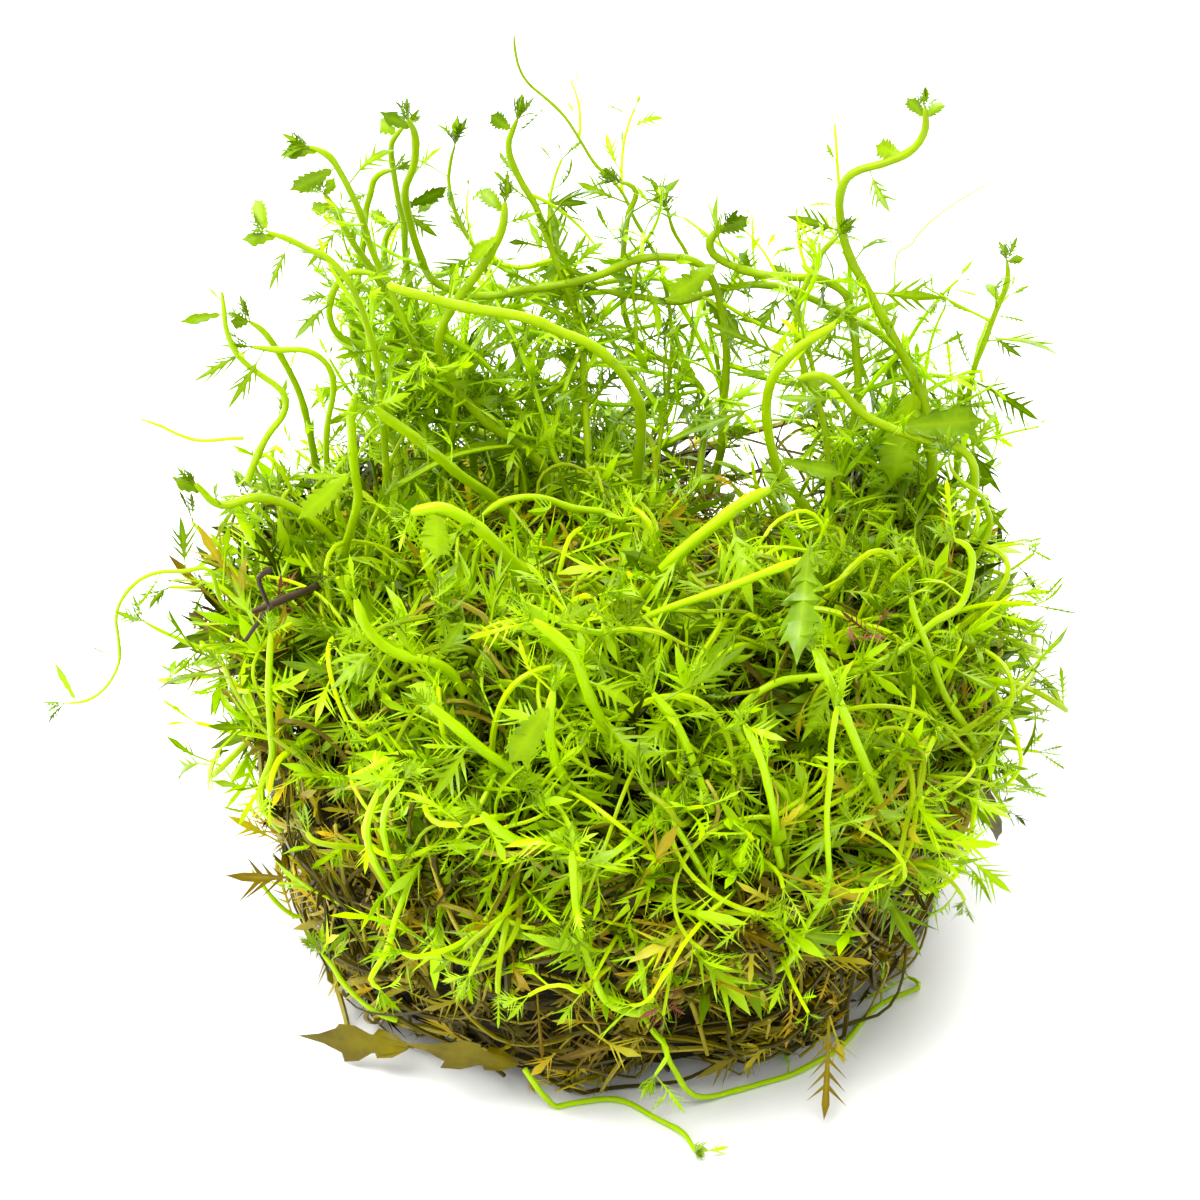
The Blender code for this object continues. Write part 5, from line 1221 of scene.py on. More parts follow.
# Leaves drawn on the shoots: form, width, across and down where each leaves the stem, and at its tip
LEAVES = {
    "two_leaf_shoot": (
        ("lance", 16, 397, 132, 374, 120), ("lobed", 30, 402, 212, 440, 240),
        ("serrate", 20, 400, 205, 448, 190)),
    "long_crossing_shoot": (("lance", 13, 411, 126, 380, 113),),
    "nodding_left_shoot": (("lance", 14, 316, 149, 279, 147), ("serrate", 20, 336, 167, 291, 192)),
    "upright_left_shoot": (("lobed", 26, 364, 240, 330, 232), ("lobed", 22, 370, 190, 346, 204)),
    "budding_left_shoot": (
        ("serrate", 18, 272, 233, 253, 198), ("lance", 12, 275, 234, 237, 240),
        ("lobed", 24, 292, 241, 264, 292)),
    "leafy_left_shoot": (
        ("lance", 14, 328, 200, 309, 214), ("lance", 13, 328, 199, 336, 178),
        ("lobed", 24, 343, 226, 306, 270)),
    "looped_left_shoot": (("lobed", 26, 333, 292, 300, 300),),
    "slender_middle_shoot": (("serrate", 15, 393, 228, 374, 208),),
    "swan_neck_shoot": (
        ("serrate", 18, 504, 212, 482, 188), ("lobed", 22, 503, 228, 541, 212),
        ("serrate", 16, 500, 230, 468, 262)),
    "back_middle_shoot": (
        ("serrate", 18, 514, 127, 489, 116), ("lance", 10, 516, 122, 524, 93),
        ("lobed", 32, 536, 208, 592, 200), ("lobed", 32, 555, 258, 598, 286),
        ("lobed", 46, 560, 270, 552, 196), ("serrate", 40, 575, 310, 548, 250)),
    "fine_bud_shoot": (
        ("lance", 10, 454, 148, 458, 116), ("lance", 14, 452, 190, 408, 208),
        ("lobed", 40, 477, 252, 430, 286)),
    "thread_shoot": (("comb", 9, 548, 100, 516, 140),),
    "hooked_back_shoot": (
        ("lobed", 22, 626, 184, 596, 170), ("comb", 14, 623, 268, 656, 238),
        ("comb", 26, 640, 340, 690, 320)),
    "comb_leaf_shoot": (("comb", 48, 672, 228, 662, 172),),
    "knotted_shoot": (
        ("serrate", 20, 717, 231, 747, 216), ("serrate", 24, 718, 256, 668, 302),
        ("lobed", 26, 800, 278, 764, 262), ("serrate", 30, 856, 380, 796, 402),
        ("lobed", 30, 846, 300, 812, 352)),
    "trailing_back_shoot": (
        ("lance", 14, 894, 540, 863, 466), ("serrate", 24, 703, 295, 742, 330),
        ("lobed", 34, 783, 288, 760, 338)),
    "s_curve_shoot": (
        ("lobed", 34, 767, 402, 678, 438), ("comb", 34, 790, 356, 700, 318),
        ("comb", 26, 818, 575, 880, 590), ("serrate", 18, 776, 462, 842, 474)),
    "tall_right_shoot": (
        ("serrate", 16, 925, 116, 908, 96), ("serrate", 16, 925, 118, 943, 98),
        ("serrate", 22, 905, 154, 876, 148), ("lobed", 30, 864, 169, 886, 220),
        ("lobed", 36, 842, 232, 788, 214), ("lobed", 46, 871, 297, 944, 296),
        ("lance", 15, 930, 470, 944, 529), ("serrate", 44, 905, 380, 893, 485)),
    "whorl_side_shoot": (("lobed", 24, 832, 535, 892, 542), ("lobed", 28, 836, 560, 886, 578)),
    "far_right_shoot": (
        ("lance", 8, 1007, 266, 1026, 258), ("serrate", 14, 1002, 300, 987, 281),
        ("lobed", 24, 990, 328, 1022, 360), ("comb", 44, 972, 376, 1042, 412),
        ("lobed", 34, 962, 440, 1002, 492), ("lobed", 26, 955, 480, 1010, 536)),
    "right_sweeping_shoot": (("serrate", 34, 890, 428, 985, 418),),
    "bold_front_shoot": (
        ("serrate", 36, 432, 508, 430, 560), ("lobed", 30, 470, 520, 420, 570),
        ("lobed", 36, 520, 556, 560, 620)),
    "yellow_stalk": (("lobed", 52, 730, 512, 752, 610), ("lobed", 34, 690, 560, 640, 610)),
    "left_crossing_shoot": (("lobed", 34, 372, 409, 410, 392),),
    "left_hanging_shoot": (("lobed", 30, 355, 474, 300, 478), ("serrate", 22, 340, 470, 300, 520)),
    "kinked_left_shoot": (("lance", 14, 202, 491, 172, 478),),
    "hooked_left_shoot": (("lance", 9, 224, 312, 178, 322), ("comb", 10, 223, 300, 208, 286)),
    "ribbed_left_shoot": (("lance", 13, 254, 324, 228, 321),),
    "straight_left_shoot": (("lobed", 22, 256, 347, 188, 383), ("lobed", 26, 262, 380, 228, 410)),
    "left_runner": (("lobed", 30, 180, 571, 180, 517), ("lance", 7, 76, 702, 54, 660)),
    "right_falling_shoot": (
        ("serrate", 18, 960, 543, 938, 536), ("lobed", 40, 868, 668, 880, 754),
        ("lobed", 34, 908, 646, 922, 722), ("lobed", 26, 745, 789, 750, 880),
        ("lobed", 42, 890, 660, 935, 700), ("lobed", 40, 840, 680, 800, 740)),
    "right_upright_shoot": (("lobed", 34, 874, 790, 786, 880),),
    "front_right_stem": (("lobed", 56, 657, 698, 762, 652), ("lobed", 44, 670, 720, 720, 700)),
    "near_left_shoot": (
        ("lobed", 24, 362, 618, 332, 650), ("lobed", 40, 384, 646, 330, 690),
        ("lobed", 44, 430, 661, 470, 620), ("lobed", 44, 450, 672, 420, 740)),
    "near_low_shoot": (
        ("serrate", 28, 446, 718, 412, 690), ("lobed", 40, 470, 740, 430, 800),
        ("lobed", 40, 500, 760, 540, 720)),
    "near_middle_shoot": (
        ("lobed", 30, 548, 632, 600, 600), ("lobed", 50, 560, 640, 520, 600),
        ("lobed", 44, 584, 682, 640, 700), ("lobed", 50, 600, 720, 650, 770)),
    "near_bent_shoot": (
        ("serrate", 32, 550, 705, 510, 762), ("lobed", 48, 551, 730, 500, 700),
        ("lobed", 46, 558, 768, 610, 820)),
    "front_bow_shoot": (("lobed", 24, 500, 830, 470, 866), ("lobed", 34, 540, 841, 590, 880)),
    "front_trailing_shoot": (("lobed", 36, 575, 870, 620, 850),),
    "left_foot_shoot": (("lobed", 20, 330, 962, 352, 940),),
    "front_runner": (("lobed", 16, 690, 1143, 706, 1169),),
}

# How shoots are eased apart: moves go partly along the line of sight, and are smoothed and scaled up.
# Neighbouring samples of one stem may lie close to each other
SPREAD_ROUNDS = 90
SMOOTHING_PASSES = 3
MOVE_GAIN = 1.6
SIGHT_SHARE = 0.8
LONGEST_PUSH = 1.5
NEIGHBOUR_SAMPLES = 5

# How depth changes towards the root, and how many samples bend to reach a fork or the body
DEPTH_EASE = 1.5
FORK_SAMPLES = 10
FORK_HEADING_SAMPLE = 6
FORK_CLEARANCE = 0.6
SETTLE_SAMPLES = 5
RUNNER_FLAT_SHARE = 0.6

# Samples of a route, and the shoots' distances to each other, to the body and to the surface below
SAMPLE_LENGTH = 1.2
ROUTE_STEPS = 12
STEM_GAP = 1.1
ROOT_REACH = 1.5
FLOOR_GAP = 0.1


def towards_at_depth(down, depth):
    """Give how far towards the eye a grid point lies when its depth is known."""
    up = (GRID_MIDDLE - down) * GRID_STEP
    sine = math.sin(EYE_ELEVATION)
    return (up * sine - depth) / (math.cos(EYE_ELEVATION) + up * sine / EYE_DISTANCE)


def towards_at_height(down, height):
    """Give how far towards the eye a grid point lies when its height above the surface is known."""
    up = (GRID_MIDDLE - down) * GRID_STEP
    cosine = math.cos(EYE_ELEVATION)
    return (height - AIM.z - up * cosine) / (math.sin(EYE_ELEVATION) - up * cosine / EYE_DISTANCE)


def smooth_route(points, spacing):
    """Sample a smooth curve through given points at an even spacing, both ends kept."""
    fine = []
    padded = [points[0] * 2 - points[1]] + list(points) + [points[-1] * 2 - points[-2]]
    for before, start, end, after in zip(padded, padded[1:], padded[2:], padded[3:]):
        for step in range(ROUTE_STEPS):
            t = step / ROUTE_STEPS
            fine.append(0.5 * (2 * start + (end - before) * t
                               + (2 * before - 5 * start + 4 * end - after) * t * t
                               + (3 * start - before - 3 * end + after) * t * t * t))
    fine.append(points[-1])
    lengths = [0.0]
    for first, second in zip(fine, fine[1:]):
        lengths.append(lengths[-1] + (second - first).length)
    count = max(3, round(lengths[-1] / spacing))
    samples = []
    index = 0
    for step in range(count + 1):
        wanted = lengths[-1] * step / count
        while index < len(lengths) - 2 and lengths[index + 1] < wanted:
            index += 1
        span = max(lengths[index + 1] - lengths[index], 1e-9)
        samples.append(fine[index].lerp(fine[index + 1], (wanted - lengths[index]) / span))
    return samples


def grid_points(route):
    """Give the points of a route."""
    return list(zip(route[::2], route[1::2]))


class Stem:
    """One shoot's centre line, from its tip to its root, with its radii."""

    def __init__(self, name, widths, places):
        self.name = name
        self.places = places
        count = len(places) - 1
        self.radii = [GRID_STEP / 2 * (widths[0] + (widths[1] - widths[0]) * i / count)
                      for i in range(count + 1)]


def shoot_stem(shoot):
    """Place a shoot's centre line: its root where the body is seen, its tip at its own depth."""
    name, tip_width, root_width, tip_depth, bulge, route = shoot
    spots = grid_points(route)
    root_across, root_down = spots[-1]
    aim = sight_place(root_across, root_down, 0) - EYE
    hit = body_skin.ray_cast(EYE, aim.normalized())[0]
    root_towards = towards_at_depth(root_down, tip_depth) if hit is None else (hit - AIM).dot(EYEWARD)
    root_depth = sight_place(root_across, root_down, root_towards).y
    flat = [Vector((across, down, 0)) for across, down in spots]
    lengths = [0.0]
    for first, second in zip(flat, flat[1:]):
        lengths.append(lengths[-1] + (second - first).length)
    points = []
    for (across, down), length in zip(spots, lengths):
        share = length / lengths[-1]
        depth = (tip_depth + (root_depth - tip_depth) * share ** DEPTH_EASE
                 + bulge * math.sin(math.pi * share))
        points.append(sight_place(across, down, towards_at_depth(down, depth)))
    if name not in FORKS:
        foot, normal, _, gap = body_skin.find_nearest(points[-1])
        if gap > ROOT_REACH:
            points.append(foot + normal * (0.5 * GRID_STEP * root_width + GAP))
    return Stem(name, (tip_width, root_width), smooth_route(points, SAMPLE_LENGTH))


def runner_stem(runner):
    """Place a runner's centre line along the surface that the clump stands on."""
    name, tip_width, root_width, root_height, route = runner
    points = []
    spots = grid_points(route)
    for index, (across, down) in enumerate(spots):
        climb = max(0.0, index / (len(spots) - 1) - RUNNER_FLAT_SHARE) / (1 - RUNNER_FLAT_SHARE)
        height = 0.5 * GRID_STEP * root_width + FLOOR_GAP + root_height * climb ** DEPTH_EASE
        points.append(sight_place(across, down, towards_at_height(down, height)))
    return Stem(name, (tip_width, root_width), smooth_route(points, SAMPLE_LENGTH))


def smooth_moves(moves, stems):
    """Spread each stem's moves along it, so that it bends and doesn't kink."""
    start = 0
    for stem in stems:
        end = start + len(stem.places)
        part = moves[start:end]
        for _ in range(SMOOTHING_PASSES):
            padded = np.vstack((part[:1], part, part[-1:]))
            part = (padded[:-2] + 2 * padded[1:-1] + padded[2:]) / 4
        moves[start:end] = part * MOVE_GAIN
        start = end
    return moves


def fork_pairs(stems):
    """Give the numbers of each forking stem and of the stem that it forks from."""
    names = [stem.name for stem in stems]
    return [(names.index(child), names.index(parent)) for child, parent in FORKS.items()]


def close_forks(stems):
    """Bring each forking stem's root up to the stem that it forks from."""
    for child, parent in reversed(fork_pairs(stems)):
        places, radius = stems[child].places, stems[child].radii[-1]
        end = places[-1]
        near = min(range(len(stems[parent].places)), key=lambda i: (stems[parent].places[i] - end).length)
        target, width = stems[parent].places[near], stems[parent].radii[near]
        incoming = (places[-FORK_HEADING_SAMPLE] - target).normalized()
        shift = target + incoming * (width + FORK_CLEARANCE * radius + GAP) - end
        for back in range(min(FORK_SAMPLES, len(places))):
            places[-1 - back] = places[-1 - back] + shift * (1 - back / FORK_SAMPLES) ** 2
        clear = width + radius + GAP
        while min((places[-1] - place).length for place in stems[parent].places) < clear:
            places.pop()
            stems[child].radii.pop()


def settle_roots(stems):
    """Bring each stem's root down to the surface of the growth or the mat that it springs from."""
    for stem in stems:
        if stem.name in FORKS:
            continue
        end = stem.places[-1]
        foot, normal, _, _ = body_skin.find_nearest(end)
        shift = foot + normal * (stem.radii[-1] + GAP) - end
        for back in range(SETTLE_SAMPLES):
            stem.places[-1 - back] = stem.places[-1 - back] + shift * (1 - back / SETTLE_SAMPLES) ** 2


def spread_apart(stems):
    """Move the stems until each clears its neighbours, the body and the surface below."""
    places = rows(place for stem in stems for place in stem.places)
    radii = np.array([radius for stem in stems for radius in stem.radii])
    owner = np.array([index for index, stem in enumerate(stems) for _ in stem.places])
    order = np.array([i for stem in stems for i in range(len(stem.places))])
    needed = radii[:, None] + radii[None, :] + STEM_GAP
    near_on_stem = (owner[:, None] == owner[None, :]) & (
        abs(order[:, None] - order[None, :]) < NEIGHBOUR_SAMPLES)
    for child, parent in fork_pairs(stems):
        joint = (owner == child) & (order > len(stems[child].places) - NEIGHBOUR_SAMPLES)
        near_on_stem |= joint[:, None] & (owner == parent)[None, :]
        near_on_stem |= joint[None, :] & (owner == parent)[:, None]
    for _ in range(SPREAD_ROUNDS):
        apart = places[:, None, :] - places[None, :, :]
        distance = np.sqrt((apart ** 2).sum(axis=2))
        short = np.clip(needed - distance, 0, None)
        short[near_on_stem] = 0
        first, second = np.nonzero(short)
        moves = np.zeros_like(places)
        if len(first):
            directions = apart[first, second]
            side = np.where(directions @ EYE_ROW >= 0, 1.0, -1.0)
            directions = directions / (distance[first, second][:, None] + 1e-6)
            directions += SIGHT_SHARE * side[:, None] * EYE_ROW[None, :]
            directions /= np.sqrt((directions ** 2).sum(axis=1))[:, None]
            np.add.at(moves, first, directions * short[first, second][:, None] * 0.5)
        for index, place in enumerate(places):
            clear = radii[index] + STEM_GAP
            point = Vector(place)
            nearest, normal, _, gap = body_skin.find_nearest(point)
            inside = (point - nearest).dot(normal) < 0
            if inside or gap < clear:
                push = clear + gap if inside else clear - gap
                away = normal if inside or gap < 1e-6 else (point - nearest).normalized()
                moves[index] += np.array(away) * min(push, LONGEST_PUSH)
        places += smooth_moves(moves, stems)
        places[:, 2] = np.maximum(places[:, 2], radii + FLOOR_GAP)
    start = 0
    for stem in stems:
        end = start + len(stem.places)
        stem.places = [Vector(place) for place in places[start:end]]
        start = end


# The shoots' leaves: form as in the mat, and width as a share of the length
FORMS = {
    "lobed": ((3, 0.08, 0.27, 0.52, 1.1, 0.2, 0.34), 0.66),
    "comb": ((5, 0.045, 0.2, 0.4, 1.0, 0.16, 0.22), 0.46),
    "toothed": ((5, 0.13, 0.13, 0.72, 1.2, 0.1, 0.2), 0.5),
    "ragged": ((2, 0.2, 0.16, 0.9, 0.9, 0.04, 0.36), 0.66),
    "serrate": ((6, 0.16, 0.07, 0.98, 1.0, 0.12, 0.16), 0.44),
    "lance": ((3, 0.13, 0.015, 1.0, 1.0, 0.1, 0.3), 0.27),
}
SHOOT_CURLS = (-0.9, 0.9)
VARIANTS = 10
LEAF_SETS = {name: leaf_variants(GROW, form, VARIANTS, SHOOT_CURLS, fine=True)
             for name, (form, _) in FORMS.items()}
SHOOT_LEAF_COLOURS = ("#4E7000", "#709400", "#94B800", "#B6DE00", "#D2F200")
SHOOT_STEM_COLOURS = ("#7E9A00", "#98B600", "#ACCC00", "#B8DC00", "#C0EA00")

# Depths in front of and behind which tints no longer change: shoots in front are painted brightest, as
# painted light, and those behind darkest, as painted shade
BRIGHT_FRONT = -30.0
DARK_BACK = 26.0

# Tints at the back and the painted light added in front, for stems and for drawn, side and bud leaves
STEM_TINTS = (0.2, 0.66)
DRAWN_TINTS = ((0.1, 0.4), 0.28)
SIDE_TINTS = ((0.15, 0.6), 0.35)
BUD_TINTS = ((0.05, 0.35), 0.35)

# Drawn leaves: how tips stray in depth and leaves turn from the eye, lowest tip, lengthening
DRAWN_STRAY, DRAWN_TURNING, DRAWN_LOWEST, DRAWN_LONGER = 1.0, 0.35, 0.4, 1.05

# Side leaves lean back to the root and scatter, and half face the eye
SIDE_LEAN, SIDE_SCATTER, SIDE_FACING, SIDE_TURNING = 0.5, 0.3, 0.5, 0.5

# Leaves of a bud
BUD_COUNT = 5
TINY_LEAF = 3.2
BUD_UNEVEN, BUD_OPENING = (0.6, 1.1), (0.15, 0.8)

# A finished stem's rings, the nodes where it swells a little, and the tapering of its tip
RING_SPACING = 0.75
NODE_SPACING = 7.5
FIRST_NODE = (0, 7)
NODE_MIDDLE = 3.0
NODE_SPREAD = 0.5
NODE_SWELLING = 0.16
TIP_TAPER = np.array((0.55, 0.8, 0.95))

# A shoot's stem is a glossy yellow-green, and its leaves are greener and glow less than the young ones
shoot_finish = plant_tissue("shoot_tissue", (SHOOT_LEAF_COLOURS, SHOOT_STEM_COLOURS), 0.3, 0.3)


def grid_distances(places, across, down):
    """Give the distances on the drawing plane between places and a grid point."""
    towards = (places - np.array(AIM)) @ EYE_ROW
    spots = rows(sight_place(across, down, float(t)) for t in towards)
    return np.sqrt(((places - spots) ** 2).sum(axis=1))


def painted_brightness(place):
    """Give how much painted light leaves get at a place: 1 in front, 0 behind, where they are painted in
    shade.
    """
    return min(max((DARK_BACK - place[1]) / (DARK_BACK - BRIGHT_FRONT), 0.0), 1.0)


def shaped_leaf(form, number, scale, length, thickness):
    """Give a copy of one variant of a form, made wider and longer."""
    shaped = dict(LEAF_SETS[form][number])
    shaped["points"] = shaped["points"] * np.array((scale, length, thickness))
    return shaped


def set_leaf(rng, line, leaf):
    """Grow one drawn leaf from a stem's line: its place, direction, facing and size."""
    form, width, foot_across, foot_down, tip_across, tip_down = leaf
    nearest = line[int(np.argmin(grid_distances(line, foot_across, foot_down)))]
    towards = (nearest - np.array(AIM)).dot(EYE_ROW)
    stray = rng.uniform(-DRAWN_STRAY, DRAWN_STRAY)
    tip = np.array(sight_place(tip_across, tip_down, float(towards + stray)))
    tip[2] = max(tip[2], DRAWN_LOWEST)
    forward = tip - nearest
    length = float(np.sqrt(forward.dot(forward)))
    facing = unit(EYE_ROW + DRAWN_TURNING * rng.normal(size=3))
    scale = width * GRID_STEP / length / FORMS[form][1]
    shaped = shaped_leaf(form, rng.integers(0, VARIANTS), scale, 1.0, min(scale, 1.0))
    return scatter(rng, [shaped], nearest[None], forward[None], facing[None],
                   np.array([length * DRAWN_LONGER]),
                   np.array([rng.uniform(*DRAWN_TINTS[0]) + DRAWN_TINTS[1] * painted_brightness(nearest)]))


def side_leaves(rng, line, start, stop, spacing, shortest, longest):
    """Grow alternate leaves along a stem's line, between two shares of its length from the tip."""
    first, last = int(start * (len(line) - 1)), int(stop * (len(line) - 1))
    picked = np.arange(first, max(last, first + 1), max(1, int(round(spacing / SAMPLE_LENGTH))))
    tangents = unit(np.gradient(line, axis=0))[picked]
    turns = LEAF_TURN * np.arange(len(picked)) + rng.uniform(*FIRST_TURN)
    around = np.stack((np.cos(turns), np.sin(turns), 0.3 * np.ones(len(turns))), axis=1)
    sides = unit(np.cross(tangents, around))
    forwards = sides - SIDE_LEAN * tangents + SIDE_SCATTER * rng.normal(size=sides.shape)
    facing = unit(EYE_ROW * SIDE_FACING - tangents + SIDE_TURNING * rng.normal(size=sides.shape))
    sizes = rng.uniform(shortest, longest, len(picked))
    tints = np.array([rng.uniform(*SIDE_TINTS[0]) + SIDE_TINTS[1] * painted_brightness(line[i]) for i in picked])
    return scatter(rng, young_forms, line[picked], forwards, facing, sizes, tints)


def bud_leaves(rng, line):
    """Fold a few small leaves into the bud at a stem's tip."""
    heading = unit(line[0] - line[2])
    turns = 2 * np.pi * np.arange(BUD_COUNT) / BUD_COUNT + rng.uniform(*FIRST_TURN)
    around = np.stack((np.cos(turns), np.sin(turns), np.zeros(BUD_COUNT)), axis=1)
    sides = unit(np.cross(heading, around + 0.01))
    forwards = heading + sides * rng.uniform(*BUD_OPENING, (BUD_COUNT, 1))
    sizes = TINY_LEAF * rng.uniform(*BUD_UNEVEN, BUD_COUNT)
    tints = rng.uniform(*BUD_TINTS[0], BUD_COUNT) + BUD_TINTS[1] * painted_brightness(line[0])
    return scatter(rng, LEAF_SETS["lobed"], np.repeat(line[:1], BUD_COUNT, axis=0), forwards,
                   -sides + heading, sizes, tints)


def shoot_piece(rng, stem, sides=8):
    """Model a shoot: its round stem, a little swollen at the nodes, its drawn leaves and small ones."""
    line = rows(stem.places)
    fine = rows(smooth_route([Vector(place) for place in line], RING_SPACING))
    radii = np.interp(np.linspace(0, 1, len(fine)), np.linspace(0, 1, len(line)), stem.radii)
    along = np.arange(len(fine)) * RING_SPACING
    from_node = (along + rng.uniform(*FIRST_NODE)) % NODE_SPACING - NODE_MIDDLE
    radii = radii * (1 + NODE_SWELLING * np.exp(-from_node ** 2 / NODE_SPREAD))
    radii[:3] *= TIP_TAPER
    body = tube(fine, radii, sides)
    pale = 1.0 if stem.name in PALE_STEMS else 0.0
    # Stems are painted brighter in front and darker behind: painted light and shade
    tints = np.array([max(pale, STEM_TINTS[0] + STEM_TINTS[1] * painted_brightness(point)) for point in fine])
    body["tint"] = np.append(np.repeat(tints, sides), (tints[0], tints[-1]))
    parts = [body]
    for leaf in LEAVES.get(stem.name, ()):
        parts.append(set_leaf(rng, line, leaf))
    leafing = SIDE_LEAVES.get(stem.name, SOME_LEAVES)
    if leafing is not NO_LEAVES:
        parts.append(side_leaves(rng, line, *leafing))
    if stem.name not in BARE_TIPS:
        parts.append(bud_leaves(rng, line))
    return join(parts)


# Side leaves: share of the stem where they start and stop, spacing, shortest and longest in millimetres
SOME_LEAVES = (0.02, 0.7, 7.0, 3.5, 7.0)
BACK_LEAVES = (0.12, 0.97, 3.4, 4.0, 8.0)
NO_LEAVES = None
SIDE_LEAVES = {
    "two_leaf_shoot": (0.4, 0.97, 3.4, 4, 8), "long_crossing_shoot": (0.12, 0.97, 4.2, 4, 7.5),
    "nodding_left_shoot": BACK_LEAVES, "upright_left_shoot": (0.3, 0.97, 3.2, 4, 8),
    "budding_left_shoot": (0.3, 0.97, 3.2, 4, 7), "leafy_left_shoot": (0.2, 0.97, 3.0, 4, 8),
    "looped_left_shoot": (0.1, 0.97, 3.4, 4, 8), "slender_middle_shoot": (0.2, 0.97, 3.4, 4, 8),
    "great_arching_shoot": (0.1, 0.6, 9, 4, 6), "swan_neck_shoot": (0.35, 0.97, 5.0, 4, 7),
    "back_middle_shoot": (0.2, 0.97, 3.0, 5, 9), "fine_bud_shoot": BACK_LEAVES,
    "thread_shoot": (0.42, 0.97, 3.4, 4, 8), "hooked_back_shoot": BACK_LEAVES,
    "comb_leaf_shoot": (0.3, 0.97, 3.4, 5, 9), "knotted_shoot": (0.15, 0.97, 3.6, 5, 9),
    "trailing_back_shoot": (0.05, 0.97, 3.6, 5, 9), "s_curve_shoot": (0.1, 0.9, 7.0, 4, 7),
    "tall_right_shoot": (0.42, 0.97, 3.4, 5, 9), "whorl_side_shoot": (0.05, 0.97, 3.0, 5, 9),
    "far_right_shoot": (0.2, 0.97, 3.4, 5, 9), "right_sweeping_shoot": (0.2, 0.9, 7.0, 5, 8),
    "dead_dark_stem": NO_LEAVES, "pale_thread": NO_LEAVES, "pale_back_thread": NO_LEAVES,
    "kinked_left_shoot": (0.2, 0.9, 9.0, 3, 5), "hooked_left_shoot": (0.3, 0.9, 9.0, 3, 5),
    "left_runner": (0.3, 0.9, 12.0, 3, 5), "ribbed_left_shoot": (0.3, 0.9, 6.0, 3.5, 6),
    "straight_left_shoot": (0.3, 0.9, 6.0, 3.5, 6), "left_foot_root": NO_LEAVES,
}
PALE_STEMS = ("pale_thread", "pale_back_thread")
BARE_TIPS = ("dead_dark_stem", "pale_thread", "great_arching_shoot", "pale_back_thread", "thread_shoot",
             "right_tendril", "left_foot_root", "hooked_left_shoot")

stems = [shoot_stem(shoot) for shoot in SHOOTS] + [runner_stem(runner) for runner in RUNNERS]
spread_apart(stems)
settle_roots(stems)
close_forks(stems)


# Thin shoots, threads and root tips that are too fine for solids of their own. They are living stems
# that grow from the mat and the young growth as the others do. Their rows are those of the shoots.
THIN_SHOOTS = (
    ("near_flat", 6, 7, -22, 0, (526, 604, 551, 617, 580, 629, 604, 633, 632, 630, 652, 645)),
    ("front_sickle", 5, 6, -40, 0, (402, 953, 415, 957, 442, 951, 465, 940, 486, 920, 500, 896, 506, 872)),
    ("left_foot_root", 4, 5, -14, 0, (252, 870, 264, 887, 279, 905, 297, 917)),
    ("short_left_runner", 4, 5, -6, 0, (145, 622, 159, 630, 179, 639, 197, 647, 216, 652)),
    ("front_left_curl", 7, 7, -36, 0, (379, 789, 369, 815, 367, 837, 374, 862, 388, 885, 402, 903)),
    ("second_front_curl", 6, 6, -36, 0, (404, 780, 388, 802, 383, 827, 388, 853, 400, 885)),
    ("low_front_loop", 5, 5, -40, 0, (470, 975, 482, 950, 498, 925, 510, 900, 514, 880)),
    ("front_arch", 7, 7, -36, 0, (596, 866, 623, 846, 652, 818, 668, 790)),
    ("right_twig", 4, 6, 4, 0, (949, 458, 952, 471, 965, 484, 981, 495, 987, 509, 990, 530)),
    ("right_tendril", 3, 3, -6, 0, (1035, 685, 1032, 702, 1012, 688, 997, 685, 981, 694)),
    ("pale_back_thread", 1.4, 2.4, 20, 0, (992, 182, 960, 200, 935, 218, 918, 235, 908, 250, 895, 270)),
    ("front_dropping", 6, 6, -38, 0, (646, 1000, 640, 960, 628, 920, 622, 880, 626, 850)),
    ("middle_dropping", 6, 6, -34, 0, (672, 820, 690, 850, 712, 890, 726, 930, 740, 968)),
    ("low_bright_stem", 5, 6, -40, 0, (655, 1075, 668, 1052, 652, 1030, 640, 1010)),
)
thin_parts = [shoot_piece(GROW, shoot_stem(shoot), 6) for shoot in THIN_SHOOTS]
thin_shoots = mesh_piece("thin_shoots", join(thin_parts), shoot_finish)
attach(thin_shoots, "root")


# Side sprigs grow on the lower halves of the back shoots, and thin side stems cross from one of them
# to another. Both are living stems, and their leaves fill the spaces between the shoots.
UNTANGLED = ("dead_dark_stem", "pale_thread", "hooked_left_shoot", "kinked_left_shoot", "left_runner",
             "ribbed_left_shoot", "straight_left_shoot", "great_arching_shoot", "s_curve_shoot",
             "right_sweeping_shoot")

# Side sprigs grow on shoots behind a depth, over a stretch given as a start and a length in shares
TANGLE_FROM = 2
TANGLE_PER_SHOOT = 6
TANGLE_STRETCH = (0.22, 0.74)
TANGLE_SIZES = (0.5, 0.85)
TANGLE_TINTS = (0.35, 0.95)
TANGLE_RISE, TANGLE_SCATTER = 0.5, 0.55

# Crossing stems start and end at shares of two shoots, sag, and swing beyond the end
CROSSING_COUNT = 85
CROSSING_SHORTEST = 5.0
CROSSING_LONGEST = 20.0
CROSSING_STARTS = (0.3, 0.9)
CROSSING_ENDS = (0.3, 0.95)
CROSSING_SAG, CROSSING_SAGS = -0.25, (-0.6, 1.0)
CROSSING_SWING = 0.15
CROSSING_STEP = 1.6
CROSSING_RADII = (0.34, 0.2)
CROSSING_TINTS = (0.4, 1.0)
CROSSING_LEAVES = (3.5, 7.5)
CROSSING_LEAN = 0.5
CROSSING_LEAF_TINT = 0.8

